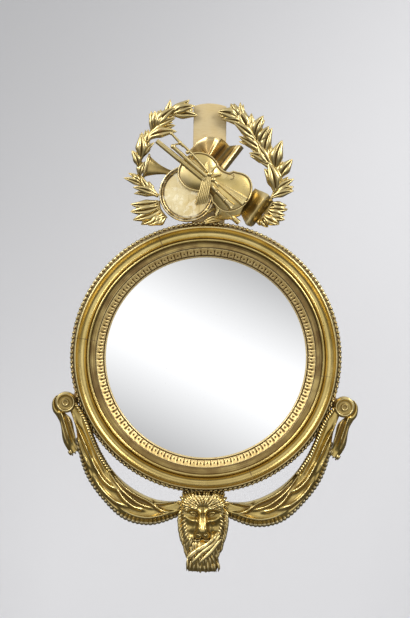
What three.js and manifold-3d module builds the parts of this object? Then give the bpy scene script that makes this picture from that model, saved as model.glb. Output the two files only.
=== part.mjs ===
// Round carved and gilded wall mirror with a convex glass.
// Millimetres, +Z up. The wall is the plane Y = 0, the mirror faces -Y.
// The origin lies on the back of the crest board, level with the two hanging rings.
// "Stand-off" always means the distance in front of the wall, so y = -standOff.

import * as THREE from 'three';
import { mergeVertices } from 'three/addons/utils/BufferGeometryUtils.js';
import Module from 'manifold-3d';

const wasm = await Module();
wasm.setup();

// ---------- Driving dimensions ----------

const gap = 0.3; // glue line or shadow gap between pieces that touch
const cutPast = 2; // how far a cutting body reaches past the face it opens
const ringSegments = 72; // facets round the big turned rings

// Turned ring, from the sight edge outwards
const sightRadius = 200;
const slipLipWidth = 3;
const slipWidth = 17.5; // sight slip, lip included
const friezeWidth = 12.5;
const shoulderWidth = 6.5;
const scotiaWidth = 21;
const outerCrestWidth = 2.5;
const coveWidth = 5;
const pearlDiameter = 7;
const pearlCount = 170;
const tongueCount = 98;

// Heights of the ring's mouldings above its own back
const slipBackHeight = 17;
const slipLipThickness = 3.5;
const slipCrestHeight = 31;
const tongueRelief = 1.4;
const friezeHeight = 34;
const friezeHollow = 0.8;
const shoulderHeight = 38.5;
const scotiaFloorHeight = 28;
const outerCrestHeight = 41;
const coveFootHeight = 13;
const beadStripThickness = 8;

// Glass and what holds it
const glassRimCover = 7; // how far the glass reaches behind the slip
const glassThickness = 4;
const glassSagitta = 14;
const glassEdgeRoom = 7; // between the glass edge and the bore
const blockCount = 4;
const blockLength = 30;
const blockWidth = 10;
const backPanelThickness = 3.5;

// Turn buttons
const buttonCount = 4;
const buttonLength = 44;
const buttonWidth = 14;
const buttonThickness = 3;
const buttonPivotInset = 22; // outside the bore that the back panel sits in
const buttonFirstAngle = 45;

// Screws
const screwSegments = 8;
const screwHeadRadius = 4.5;
const screwHeadHeight = 2.5;
const screwShankRadius = 2;
const screwRunningClearance = 0.1;
const screwGrip = 11; // how deep a screw goes into the wood it holds on to
const screwSink = 0.8; // screw heads below the back of a board

// Hanging rings
const hangDrop = 50; // from the outer edge of a pearl at the ring's top
const hangerSpacing = 206;
const hangerPlateWidth = 44;
const hangerPlateHeight = 14;
const hangerPlateThickness = 1.8;
const hangerScrewSpacing = 30;
const hangerEyeWidth = 4;
const hangerEyeRadius = 4.2;
const hangerEyeBore = 2.2;
const hangerWireRadius = 1.75;
const hangerRingRadius = 13;

// Crest board, behind the ring's top and the carving
const boardThickness = 16;
const boardWidth = 66;
const boardRise = 231; // above the ring's top edge, at the board's shoulders
const boardArch = 6;
const boardOverlap = 61; // down behind the ring
const boardScrewSpacing = 40;
const boardScrewDrop = 33;

// Crest carving
const carvingDepth = 17.7; // the lower layer of the carving
const stemRadius = 4;
const leafThickness = 5;
const tambourineRadius = 56;
const tambourineOffset = 43;
const tambourineHoop = 6;
const tambourineSkinDrop = 4;
const violinLength = 152;
const violinUpperHalf = 42;
const violinWaistHalf = 29;
const violinLowerHalf = 43;
const violinDepth = 19;
const violinCrown = 3;
const violinTilt = -34.4; // degrees, head end up to the left
const neckReach = 66; // beyond the violin's body
const neckOverlap = 20; // over the body
const neckWidth = 10;
const neckDepth = 8;
const tailpieceStart = 76; // from the neck end of the violin's body
const tailpieceDepth = 4;
const bowRadius = 3;
const oboeNarrowRadius = 4.5;
const oboeBellRadius = 7;
const fluteRadius = 5;
const fluteInset = 2.7; // between the flute's upper end and the tambourine's side
const trumpetMouthRadius = 25;
const trumpetTubeRadius = 4.5;
const ribbonDepth = 5;
const ribbonClearance = 2.5; // between the ribbon's knot and the tailpiece
const sheetRidgeHeight = 21;
const sheetEdgeHeight = 8;

// Drapery
const roundelRadius = 21;
const roundelDepth = 18;
const roundelAngle = 18.7; // degrees below the horizontal
const swagDepth = 26;
const swagFoldRelief = 5;
const swagEndAngle = 83.5;
const dropDepth = 20;
const cleatLength = 66;
const cleatWidth = 22;
const cleatThickness = 12;

// Lion mask
const maskHeight = 156;
const maskCleatWidth = 84;
const maskCleatTop = 60; // up behind the ring
const maskCleatDrop = 62; // down behind the mask
const maskScrewSpacing = 56;
const maskScrewRise = 36;
const maskReach = 60; // no part of the mask stands out further than this
const drapeRadius = 10;
const drapeLift = 22;

// ---------- Places that follow from them ----------

const ringBack = boardThickness + gap;
const slipOuter = sightRadius + slipWidth;
const friezeOuter = slipOuter + friezeWidth;
const shoulderOuter = friezeOuter + shoulderWidth;
const scotiaOuter = shoulderOuter + scotiaWidth;
const crestOuter = scotiaOuter + outerCrestWidth;
const coveOuter = crestOuter + coveWidth;
const ringRadius = coveOuter + gap + pearlDiameter; // outside the pearls

const slipBack = ringBack + slipBackHeight;
const glassRadius = sightRadius + glassRimCover;
const domeRadius = (glassRadius ** 2 + glassSagitta ** 2) / (2 * glassSagitta);
const glassRim = slipBack - gap - domeHeight(sightRadius);
const boreRadius = glassRadius + glassEdgeRoom;
const buttonPivotRadius = boreRadius + buttonPivotInset;
const hangHeight = coveOuter + pearlDiameter - hangDrop; // above the centre of the glass
const panelFront = ringBack + backPanelThickness;

const carvingBack = ringBack;
const carvingFront = carvingBack + carvingDepth;
const violinBack = carvingFront + gap;
const violinFront = violinBack + violinDepth;
const onViolin = violinFront + gap;

// ---------- Materials ----------

function finish(color, roughness, metalness) {
  return () => new THREE.MeshStandardMaterial({ color, roughness, metalness });
}

const gilding = finish(0xc9a54e, 0.38, 0.75);
const darkGilding = finish(0x8a6a36, 0.5, 0.6);
const paleGilding = finish(0xe2c987, 0.45, 0.6);
const silvered = finish(0xe6e8ea, 0.04, 1);
const pine = finish(0x9c7a50, 0.8, 0);
const oldPine = finish(0x6e5236, 0.85, 0);
const brass = finish(0xb08d45, 0.35, 0.9);
const steel = finish(0x8d8f92, 0.4, 0.9);

// ---------- Solid helpers ----------

// Closed geometry to a solid, with its faces turned outwards.
function solid(geometry) {
  const bare = geometry.clone();
  bare.deleteAttribute('normal');
  bare.deleteAttribute('uv');
  const welded = mergeVertices(bare, 1e-4);
  const points = welded.attributes.position.array;
  const corners = [];
  for (let i = 0; i < welded.index.count; i += 3) {
    const [a, b, c] = [0, 1, 2].map((k) => welded.index.getX(i + k));
    if (a !== b && b !== c && c !== a) corners.push(a, b, c);
  }
  if (signedVolume(points, corners) < 0) corners.reverse();
  const mesh = new wasm.Mesh({
    numProp: 3,
    vertProperties: Float32Array.from(points),
    triVerts: Uint32Array.from(corners),
  });
  return new wasm.Manifold(mesh);
}

function signedVolume(points, corners) {
  const corner = (i) => new THREE.Vector3().fromArray(points, 3 * corners[i]);
  let sum = 0;
  for (let i = 0; i < corners.length; i += 3) {
    sum += corner(i).dot(corner(i + 1).cross(corner(i + 2)));
  }
  return sum / 6;
}

function surfaceOf(body) {
  const mesh = body.getMesh();
  const geometry = new THREE.BufferGeometry();
  geometry.setAttribute('position', new THREE.BufferAttribute(mesh.vertProperties, 3));
  geometry.setIndex(new THREE.BufferAttribute(mesh.triVerts, 1));
  geometry.computeVertexNormals();
  return geometry;
}

// Skin through rings of points, each ring with the same count. Both ends are capped
// from their middle.
function skin(rings) {
  const count = rings[0].length;
  const points = rings.flat();
  const corners = [];
  for (let i = 0; i < rings.length - 1; i += 1) {
    for (let j = 0; j < count; j += 1) {
      const k = (j + 1) % count;
      const [a, b] = [i * count + j, i * count + k];
      corners.push(a, b, b + count, a, b + count, a + count);
    }
  }
  [0, rings.length - 1].forEach((end) => {
    const middle = new THREE.Vector3();
    rings[end].forEach((p) => middle.addScaledVector(p, 1 / count));
    points.push(middle);
    for (let j = 0; j < count; j += 1) {
      const [a, b] = [end * count + j, end * count + ((j + 1) % count)];
      corners.push(...(end === 0 ? [points.length - 1, b, a] : [points.length - 1, a, b]));
    }
  });
  const geometry = new THREE.BufferGeometry().setFromPoints(points);
  geometry.setIndex(corners);
  return solid(geometry);
}

// A point seen from the front: x to the right, z up, and its stand-off from the wall.
function at(x, z, standOff) {
  return new THREE.Vector3(x, -standOff, z);
}

// Turned piece on the axis through (x, z); its profile is [radius, standOff] pairs.
function turned(profile, segments, x = 0, z = 0) {
  const loop = profile.map(([radius, standOff]) => new THREE.Vector2(radius, -standOff));
  loop.push(loop[0].clone());
  const geometry = new THREE.LatheGeometry(loop, segments);
  geometry.translate(x, 0, z);
  return solid(geometry);
}

// Flat piece with an outline seen from the front, between two stand-offs.
function plate(outline, back, front) {
  const geometry = new THREE.ExtrudeGeometry(outline, {
    depth: front - back,
    bevelEnabled: false,
    curveSegments: 16,
  });
  geometry.rotateX(Math.PI / 2);
  geometry.translate(0, -back, 0);
  return solid(geometry);
}

function polygon(corners) {
  return new THREE.Shape(corners.map(([x, z]) => new THREE.Vector2(x, z)));
}

function radians(degrees) {
  return THREE.MathUtils.degToRad(degrees);
}

// Round bar along points seen from the front, each [x, z, radius]; its back lies at
// the stand-off given on a flat side, and its depth may be flattened.
function bar(stations, back, sides = 8, flatten = 1) {
  const first = sides % 4 === 0 ? 0.5 : 0;
  const rings = stations.map(([x, z, radius], i) => {
    const [ax, az] = stations[Math.max(i - 1, 0)];
    const [bx, bz] = stations[Math.min(i + 1, stations.length - 1)];
    const across = new THREE.Vector3(-(bz - az), 0, bx - ax).normalize();
    const centre = at(x, z, back + radius * flatten);
    return Array.from({ length: sides }, (_, k) => {
      const turn = (2 * Math.PI * (k + first)) / sides;
      const reach = radius / Math.cos(Math.PI / sides);
      return centre
        .clone()
        .addScaledVector(across, reach * Math.cos(turn))
        .add(new THREE.Vector3(0, -reach * flatten * Math.sin(turn), 0));
    });
  });
  return skin(rings);
}

// ---------- Ring ----------

function domeHeight(radius) {
  return Math.sqrt(domeRadius ** 2 - radius ** 2) - (domeRadius - glassSagitta);
}

function arcBetween(x0, x1, level0, level1, floor, steps) {
  const points = [];
  for (let i = 0; i <= steps; i += 1) {
    const t = i / steps;
    const chord = level0 + (level1 - level0) * t;
    const dip = (level0 + level1) / 2 - floor;
    points.push([x0 + (x1 - x0) * t, chord - dip * Math.sqrt(1 - (2 * t - 1) ** 2)]);
  }
  return points;
}

function hollowMoulding() {
  const inner = slipOuter + gap;
  const frieze = ringBack + friezeHeight;
  const shoulder = ringBack + shoulderHeight;
  const crest = ringBack + outerCrestHeight;
  const quirk = 1;
  const profile = [
    [boreRadius, ringBack],
    [boreRadius, slipBack],
    [inner, slipBack],
    [inner, frieze],
    [(inner + friezeOuter) / 2, frieze - friezeHollow],
    [friezeOuter, frieze],
    [friezeOuter + quirk, shoulder - quirk],
    [friezeOuter + shoulderWidth / 2, shoulder],
    [shoulderOuter - quirk, shoulder - quirk],
    ...arcBetween(
      shoulderOuter,
      scotiaOuter,
      shoulder - 2 * quirk,
      crest,
      ringBack + scotiaFloorHeight,
      7,
    ),
    [crestOuter, crest - quirk],
    [crestOuter + coveWidth / 4, (crest + ringBack + coveFootHeight) / 2],
    [coveOuter, ringBack + coveFootHeight],
    [coveOuter, ringBack],
  ];
  let ring = turned(profile, ringSegments);
  pilotPlaces().forEach(([x, z, end]) => {
    const pilot = [
      [0, ringBack - cutPast],
      [screwShankRadius + gap, ringBack - cutPast],
      [screwShankRadius + gap, end + gap],
      [0, end + gap],
    ];
    ring = ring.subtract(turned(pilot, screwSegments, x, z));
  });
  return ring;
}

function sightSlip() {
  const lip = slipBack + slipLipThickness;
  const crest = ringBack + slipCrestHeight;
  const crestRound = 2;
  const profile = [
    [slipOuter, slipBack],
    [sightRadius, slipBack],
    [sightRadius, lip],
    [sightRadius + slipLipWidth, lip],
    [slipOuter - crestRound, crest],
    [slipOuter, crest - crestRound / 2],
  ];
  const loop = profile.map(([radius, standOff]) => new THREE.Vector2(radius, -standOff));
  loop.push(loop[0].clone());
  const geometry = new THREE.LatheGeometry(loop, 2 * tongueCount);
  const place = geometry.attributes.position;
  for (let i = 0; i < place.count; i += 1) {
    const column = Math.floor(i / loop.length);
    const row = i % loop.length;
    const carved = row === 3 || row === 4;
    if (carved && column % 2 === 1) place.setY(i, place.getY(i) + tongueRelief);
  }
  return solid(geometry);
}

// Strip with its row of pearls, drawn as the scalloped edge that it shows.
function beadStrip() {
  const outline = new THREE.Shape();
  const valley = ringRadius - pearlDiameter / 3;
  const pitch = (2 * Math.PI) / pearlCount;
  for (let i = 0; i < pearlCount; i += 1) {
    [
      [-0.5, valley],
      [-0.18, ringRadius],
      [0.18, ringRadius],
    ].forEach(([share, radius], k) => {
      const angle = (i + share) * pitch;
      const move = i === 0 && k === 0 ? 'moveTo' : 'lineTo';
      outline[move](radius * Math.cos(angle), radius * Math.sin(angle));
    });
  }
  const hole = new THREE.Path();
  for (let i = 0; i < ringSegments; i += 1) {
    const angle = (2 * Math.PI * i) / ringSegments;
    const move = i === 0 ? 'moveTo' : 'lineTo';
    hole[move]((coveOuter + gap) * Math.sin(angle), (coveOuter + gap) * Math.cos(angle));
  }
  outline.holes.push(hole);
  return plate(outline, ringBack, ringBack + beadStripThickness);
}

function mirrorGlass() {
  const steps = 4;
  const front = [];
  for (let i = 0; i <= steps; i += 1) {
    const radius = (glassRadius * i) / steps;
    front.push([radius, glassRim + domeHeight(radius)]);
  }
  const back = front.map(([radius, standOff]) => [radius, standOff - glassThickness]);
  return turned([...front, ...back.reverse()], ringSegments);
}

// Softwood blocks glued in the rebate behind the glass edge.
function glassBlock(angle) {
  const reach = Math.sqrt((boreRadius - gap) ** 2 - (blockLength / 2) ** 2) - gap;
  const front = glassRim - glassThickness - gap;
  const back = panelFront + gap;
  const body = new THREE.BoxGeometry(blockWidth, front - back, blockLength);
  body.translate(reach - blockWidth / 2, -(front + back) / 2, 0);
  body.rotateY(-radians(angle));
  return solid(body);
}

function backPanel() {
  const radius = boreRadius - gap;
  return turned(
    [
      [0, ringBack],
      [radius, ringBack],
      [radius, panelFront],
      [0, panelFront],
    ],
    ringSegments,
  );
}

// ---------- Screws, turn buttons and hanging rings ----------

// Screw driven in from the back: its head starts at the stand-off given.
function screw(start, length, x, z) {
  const shoulder = start + screwHeadHeight;
  const profile = [
    [0, start],
    [screwHeadRadius, start],
    [screwHeadRadius, shoulder],
    [screwShankRadius, shoulder],
    [screwShankRadius, start + length],
    [0, start + length],
  ];
  return turned(profile, screwSegments, x, z);
}

// The counterbored hole that such a screw needs in a board.
function screwHole(start, front, x, z) {
  const shoulder = start + screwHeadHeight + gap;
  const profile = [
    [0, start - cutPast],
    [screwHeadRadius + gap, start - cutPast],
    [screwHeadRadius + gap, shoulder],
    [screwShankRadius + gap, shoulder],
    [screwShankRadius + gap, front + cutPast],
    [0, front + cutPast],
  ];
  return turned(profile, screwSegments, x, z);
}

const buttonFront = ringBack - gap;
const buttonBack = buttonFront - buttonThickness;
const buttonScrewStart = buttonBack - gap - screwHeadHeight;
const buttonScrewLength = ringBack + screwGrip - buttonScrewStart;

function buttonPlace(i) {
  const angle = radians(buttonFirstAngle + (360 * i) / buttonCount);
  return [buttonPivotRadius * Math.cos(angle), buttonPivotRadius * Math.sin(angle)];
}

// Wooden button, its long end over the back panel.
function turnButton(i) {
  const [x, z] = buttonPlace(i);
  const angle = Math.atan2(-z, -x);
  const half = buttonWidth / 2;
  const outline = new THREE.Shape();
  outline.absarc(0, 0, half, Math.PI / 2, (3 * Math.PI) / 2, false);
  outline.absarc(buttonLength - buttonWidth, 0, half, -Math.PI / 2, Math.PI / 2, false);
  const hole = new THREE.Path();
  const bore = screwShankRadius + screwRunningClearance;
  hole.absarc(0, 0, bore, 0, 2 * Math.PI, true);
  outline.holes.push(hole);
  const geometry = new THREE.ExtrudeGeometry(outline, {
    depth: buttonThickness,
    bevelEnabled: false,
    curveSegments: 6,
  });
  geometry.rotateZ(angle);
  geometry.rotateX(Math.PI / 2);
  geometry.translate(x, -buttonBack, z);
  return solid(geometry);
}

const hangerFront = ringBack - gap;
const hangerPlateBack = hangerFront - hangerPlateThickness;
const hangerPivot = hangerPlateBack - hangerEyeRadius + hangerPlateThickness;
const hangerScrewStart = hangerPlateBack - gap - screwHeadHeight;
const hangerScrewLength = ringBack + screwGrip - hangerScrewStart;

function hangerScrewPlaces(side) {
  const middle = (side * hangerSpacing) / 2;
  return [-1, 1].map((end) => [middle + (end * hangerScrewSpacing) / 2, hangHeight]);
}

// Plate with an eye in its middle and a screw at each side.
function hangerPlate(side) {
  const middle = (side * hangerSpacing) / 2;
  const base = new THREE.BoxGeometry(hangerPlateWidth, hangerPlateThickness, hangerPlateHeight);
  base.translate(middle, -(hangerFront + hangerPlateBack) / 2, hangHeight);
  const eye = alongX(hangerEyeRadius, hangerEyeWidth, middle, 16);
  const bore = alongX(hangerEyeBore, hangerEyeWidth + cutPast, middle, 12);
  let body = solid(base).add(solid(eye)).subtract(solid(bore));
  hangerScrewPlaces(side).forEach(([x, z]) => {
    const above = hangerPlateBack - screwHeadHeight - 2 * gap;
    body = body.subtract(screwHole(above, hangerFront, x, z));
  });
  return body;
}

function alongX(radius, length, middle, segments) {
  const geometry = new THREE.CylinderGeometry(radius, radius, length, segments);
  geometry.rotateZ(Math.PI / 2);
  geometry.translate(middle, -hangerPivot, hangHeight);
  return geometry;
}

function hangerRing(side) {
  const geometry = new THREE.TorusGeometry(hangerRingRadius, hangerWireRadius, 6, 24);
  geometry.rotateX(Math.PI / 2);
  geometry.translate((side * hangerSpacing) / 2, -hangerPivot, hangHeight - hangerRingRadius);
  return solid(geometry);
}

// ---------- Boards behind the carving ----------

const boardScrewLength = ringBack + screwGrip - screwSink;

function boardScrewPlaces() {
  const z = ringRadius - boardScrewDrop;
  return [-1, 1].map((side) => [(side * boardScrewSpacing) / 2, z]);
}

function maskScrewPlaces() {
  const z = -(ringRadius - maskScrewRise);
  return [-1, 1].map((side) => [(side * maskScrewSpacing) / 2, z]);
}

function swagCleatScrewPlace(side) {
  const radius = (friezeOuter + scotiaOuter) / 2;
  const angle = radians(roundelAngle);
  return [side * radius * Math.cos(angle), -radius * Math.sin(angle)];
}

const cleatBack = boardThickness - cleatThickness;
const cleatScrewStart = cleatBack + screwSink;
const cleatScrewLength = ringBack + screwGrip - cleatScrewStart;

// Where screws enter the ring, with the stand-off of each screw's end.
function pilotPlaces() {
  const into = ringBack + screwGrip;
  const places = [];
  for (let i = 0; i < buttonCount; i += 1) places.push([...buttonPlace(i), into]);
  [-1, 1].forEach((side) => {
    hangerScrewPlaces(side).forEach((place) => places.push([...place, into]));
    places.push([...swagCleatScrewPlace(side), into]);
  });
  boardScrewPlaces().forEach((place) => places.push([...place, into]));
  maskScrewPlaces().forEach((place) => places.push([...place, into]));
  return places;
}

function crestBoard() {
  const half = boardWidth / 2;
  const shoulder = ringRadius + boardRise;
  const outline = new THREE.Shape();
  outline.moveTo(-half, ringRadius - boardOverlap);
  outline.lineTo(half, ringRadius - boardOverlap);
  outline.lineTo(half, shoulder);
  outline.quadraticCurveTo(0, shoulder + 2 * boardArch, -half, shoulder);
  let board = plate(outline, 0, boardThickness);
  boardScrewPlaces().forEach(([x, z]) => {
    board = board.subtract(screwHole(screwSink, boardThickness, x, z));
  });
  return board;
}

function maskCleat() {
  const half = maskCleatWidth / 2;
  const top = -(ringRadius - maskCleatTop);
  const bottom = -(ringRadius + maskCleatDrop);
  const outline = polygon([
    [-half, bottom],
    [half, bottom],
    [half, top],
    [-half, top],
  ]);
  let board = plate(outline, 0, boardThickness);
  maskScrewPlaces().forEach(([x, z]) => {
    board = board.subtract(screwHole(screwSink, boardThickness, x, z));
  });
  return board;
}

// Batten behind the ring's edge; its outer end backs the inner part of the roundel.
function swagCleat(side) {
  const angle = radians(roundelAngle);
  const inner = ringRadius + 1.5 * roundelRadius - cleatLength;
  const body = new THREE.BoxGeometry(cleatLength, cleatThickness, cleatWidth);
  body.translate(inner + cleatLength / 2, -(cleatBack + boardThickness) / 2, 0);
  body.rotateY(angle);
  if (side < 0) body.scale(-1, 1, 1);
  const [x, z] = swagCleatScrewPlace(side);
  return solid(body).subtract(screwHole(cleatScrewStart, boardThickness, x, z));
}

// ---------- Crest carving, measured from the ring's top point ----------

// Laurel leaf between two points seen from the front, bowed towards the viewer.
function leaf(from, to, width, lift) {
  const base = at(from.x, from.y, carvingBack + leafThickness / 2);
  const tip = at(to.x, to.y, carvingBack + leafThickness / 2 + lift);
  const across = new THREE.Vector3(-(to.y - from.y), 0, to.x - from.x).normalize();
  const ring = (share, half, deep) => {
    const middle = base.clone().lerp(tip, share);
    return [
      middle.clone().addScaledVector(across, half),
      middle.clone().add(new THREE.Vector3(0, -deep, 0)),
      middle.clone().addScaledVector(across, -half),
      middle.clone().add(new THREE.Vector3(0, deep, 0)),
    ];
  };
  const thin = leafThickness / 2;
  return skin([
    ring(0, width / 4, thin),
    ring(0.35, width / 2, thin),
    ring(0.7, width / 2.6, thin),
    ring(1, 0.4, 0.4),
  ]);
}

// Branch: a stem through hand-set points, with leaves given as
// [place along the stem, length, degrees off the stem, width].
function branch(stemPoints, leaves, radius = stemRadius) {
  const line = new THREE.SplineCurve(stemPoints.map(([x, z]) => new THREE.Vector2(x, z)));
  const steps = Math.max(4, Math.round(line.getLength() / 14));
  const stations = line.getSpacedPoints(steps).map((p) => [p.x, p.y, radius]);
  let body = bar(stations, carvingBack, 6);
  leaves.forEach(([share, length, degrees, width], i) => {
    const root = line.getPointAt(share);
    const heading = line.getTangentAt(share).rotateAround(new THREE.Vector2(), radians(degrees));
    const tip = root.clone().addScaledVector(heading, length);
    body = body.add(leaf(root, tip, width, 2 + 2 * (i % 3)));
  });
  return body;
}

const leftStem = [
  [-100, 49],
  [-123, 60],
  [-139, 82],
  [-139, 111],
  [-131, 145],
  [-116, 177],
  [-92, 206],
  [-76, 214],
];
const leftLeaves = [
  [0.01, 52, 7, 10],
  [0.02, 33, -24, 8],
  [0.06, 26, -48, 9],
  [0.22, 24, 26, 7],
  [0.37, 35, 29, 10],
  [0.45, 49, 11, 15],
  [0.44, 40, -14, 9],
  [0.58, 34, 9, 8],
  [0.67, 58, -52, 13],
  [0.7, 54, -40, 12],
  [0.76, 36, 31, 10],
  [0.78, 38, 18, 10],
  [0.78, 55, -8, 13],
  [0.78, 46, -28, 10],
  [0.96, 52, 15, 13],
  [0.99, 50, -2, 12],
  [0.99, 53, -24, 13],
];

const rightStem = [
  [124, 47],
  [143, 76],
  [133, 104],
  [117, 121],
  [94, 159],
  [81, 182],
  [57, 210],
];
const rightLeaves = [
  [0.02, 46, -36, 9],
  [0.03, 56, -12, 12],
  [0.08, 62, 54, 16],
  [0.25, 45, -57, 14],
  [0.34, 60, -46, 16],
  [0.42, 47, 19, 12],
  [0.4, 56, -18, 12],
  [0.52, 58, -46, 14],
  [0.58, 54, 28, 11],
  [0.64, 44, -58, 12],
  [0.71, 56, 25, 12],
  [0.73, 48, -48, 13],
  [0.78, 40, -28, 11],
  [0.82, 52, -8, 15],
  [0.9, 47, 38, 10],
  [0.97, 48, 33, 15],
  [0.98, 34, -8, 12],
];

const leftSprayStem = [
  [-101, 39],
  [-97, 22],
  [-83, 5],
];
const leftSprayLeaves = [
  [0.05, 56, -94, 12],
  [0.3, 58, -93, 14],
  [0.45, 58, -96, 14],
  [0.6, 48, -96, 13],
  [0.75, 38, -95, 13],
  [0.9, 31, -99, 13],
];

const rightSprayStem = [
  [127, 39],
  [115, 18],
  [102, 4],
];
const rightSprayLeaves = [
  [0.02, 30, 112, 10],
  [0.3, 38, 117, 11],
  [0.4, 36, 105, 12],
  [0.55, 40, 106, 12],
  [0.72, 36, 105, 12],
  [0.85, 23, 80, 10],
  [0.95, 13, 43, 9],
];

// The tambourine stands on the ring, to the left of the middle.
const tambourineReach = ringRadius + 2 * gap + tambourineRadius;
const tambourineCentre = [
  -tambourineOffset,
  Math.sqrt(tambourineReach ** 2 - tambourineOffset ** 2) - ringRadius,
];

const besideTambourine = tambourineCentre[0] + tambourineRadius + gap;
const aboveTambourine = tambourineCentre[1] + tambourineRadius + gap;

function tambourine(room = 0) {
  const skinRadius = tambourineRadius - tambourineHoop;
  const groove = 1.2;
  return turned(
    [
      [0, carvingBack - room],
      [tambourineRadius + room, carvingBack - room],
      [tambourineRadius + room, carvingFront - groove],
      [tambourineRadius - groove, carvingFront + room],
      [skinRadius + groove - room, carvingFront + room],
      [skinRadius - room, carvingFront - tambourineSkinDrop + room],
      [0, carvingFront - tambourineSkinDrop + 1 + room],
    ],
    32,
    ...tambourineCentre,
  );
}

// Violin frame: u runs from the neck end of the body to its tail, v across it.
const violinHead = [-50, 121];

function onViolinAxis(u, v) {
  const angle = radians(violinTilt);
  return [
    violinHead[0] + u * Math.cos(angle) - v * Math.sin(angle),
    violinHead[1] + u * Math.sin(angle) + v * Math.cos(angle),
  ];
}

function violinOutline() {
  const side = [
    [0, 14],
    [0.09, violinUpperHalf - 9],
    [0.22, violinUpperHalf],
    [0.36, violinUpperHalf - 5],
    [0.43, violinWaistHalf + 5],
    [0.5, violinWaistHalf],
    [0.58, violinWaistHalf + 6],
    [0.64, violinLowerHalf - 4],
    [0.78, violinLowerHalf],
    [0.92, violinLowerHalf - 12],
    [1, 14],
  ].map(([share, half]) => [share * violinLength, half]);
  return [...side, ...side.map(([u, half]) => [u, -half]).reverse()];
}

function violinBody() {
  const rings = [
    [1, violinBack],
    [1, violinFront - violinCrown],
    [0.8, violinFront],
  ].map(([scale, standOff]) =>
    violinOutline().map(([u, v]) => {
      const middle = violinLength / 2;
      const [x, z] = onViolinAxis(middle + (u - middle) * (1 + scale) / 2, v * scale);
      return at(x, z, standOff);
    }),
  );
  return skin(rings);
}

function violinStrip(u0, u1, half0, half1, back, front) {
  return plate(
    polygon([
      onViolinAxis(u0, -half0),
      onViolinAxis(u1, -half1),
      onViolinAxis(u1, half1),
      onViolinAxis(u0, half0),
    ]),
    back,
    front,
  );
}

function violinNeck() {
  const half = neckWidth / 2;
  return violinStrip(-neckReach, neckOverlap, half + 1, half, onViolin, onViolin + neckDepth);
}

function violinTailpiece() {
  const end = violinLength - 6;
  return violinStrip(tailpieceStart, end, 3, 9, onViolin, onViolin + tailpieceDepth);
}

function violinBow() {
  return bar(
    [
      [-78, 169, bowRadius],
      [-64, 153, bowRadius],
      [-30, 121, bowRadius],
    ],
    onViolin,
    6,
  );
}

function oboe() {
  return bar(
    [
      [6, 66, oboeNarrowRadius],
      [26, 46, oboeNarrowRadius + 1],
      [36, 36, oboeNarrowRadius + 1.5],
      [46, 26, oboeBellRadius],
    ],
    onViolin,
    8,
  );
}

function flute(room = 0) {
  const from = new THREE.Vector2(besideTambourine + fluteInset, 33);
  const to = new THREE.Vector2(60, -1);
  const ease = to.clone().sub(from).setLength(2 * room);
  const stations = [from.sub(ease), to.add(ease)].map((p) => [p.x, p.y, fluteRadius + room]);
  return bar(stations, carvingBack + fluteRadius - room, 8);
}

function trumpet() {
  const mouth = [-127, 108];
  const far = [-70, 94];
  const share = (t) => [mouth[0] + (far[0] - mouth[0]) * t, mouth[1] + (far[1] - mouth[1]) * t];
  const flatten = carvingDepth / (2 * trumpetMouthRadius);
  const bell = [0, 0.12, 0.3, 0.55, 0.8, 1].map((t) => {
    const flare = trumpetTubeRadius + (trumpetMouthRadius - trumpetTubeRadius) * (1 - t) ** 2.2;
    return [...share(t), flare];
  });
  return bar(bell, carvingBack, 12, flatten);
}

function musicSheetUpper() {
  const outline = polygon([
    [-43, 139],
    [-31, 149],
    [-21, 158],
    [-10, 165],
    [8, 169],
    [25, 162],
    [40, 152],
    [65, 149],
    [59, 141],
    [47, 128],
    [31, 116],
    [24, 106],
    [-20, aboveTambourine],
  ]);
  return plate(outline, carvingBack, carvingFront);
}

// Open booklet: two leaves that meet in a raised ridge.
function musicSheetLower(room = 0) {
  const sections = [
    [
      [91 - room, 66 + room, sheetEdgeHeight],
      [115, 56 + room, sheetRidgeHeight],
      [127 + room, 46 + room, sheetEdgeHeight],
    ],
    [
      [60 - room, 19 - room, sheetEdgeHeight],
      [74, -4 - room, sheetRidgeHeight],
      [84 + room, -10 - room, sheetEdgeHeight],
    ],
  ];
  const rings = sections.map((front) => {
    const face = front.map(([x, z, height]) => at(x, z, carvingBack + height + room));
    const back = [front[2], front[0]].map(([x, z]) => at(x, z, carvingBack - room));
    return [...face, ...back];
  });
  return skin(rings);
}

function trophyRibbon() {
  const outline = polygon([
    [-9, 90],
    [6, 92],
    onViolinAxis(tailpieceStart - ribbonClearance, 0.6),
    [4, 66],
    [-11, 33],
    [-23, 36],
    [-12, 68],
  ]);
  return plate(outline, onViolin, onViolin + ribbonDepth);
}

// Lump of wood left behind the instruments, glued to the board.
function trophyBlock() {
  const outline = polygon([
    [besideTambourine, 2],
    [40, 5],
    [62, 12],
    [84, 62],
    [50, 84],
    [besideTambourine, 70],
  ]);
  return plate(outline, carvingBack, carvingFront)
    .subtract(flute(gap))
    .subtract(musicSheetLower(gap));
}

// ---------- Drapery ----------

function roundelPlace(side) {
  const angle = radians(roundelAngle);
  const radius = ringRadius + gap + roundelRadius;
  return [side * radius * Math.cos(angle), -radius * Math.sin(angle)];
}

function roundel(side, room = 0) {
  const rim = carvingBack + roundelDepth + room;
  const field = rim - 3;
  const button = rim + 2;
  const [x, z] = roundelPlace(side);
  return turned(
    [
      [0, carvingBack - room],
      [roundelRadius + room, carvingBack - room],
      [roundelRadius + room, rim - 4],
      [roundelRadius - 3, rim],
      [roundelRadius - 8, field],
      [7, field],
      [5, button],
      [0, button],
    ],
    20,
    x,
    z,
  );
}

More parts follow.
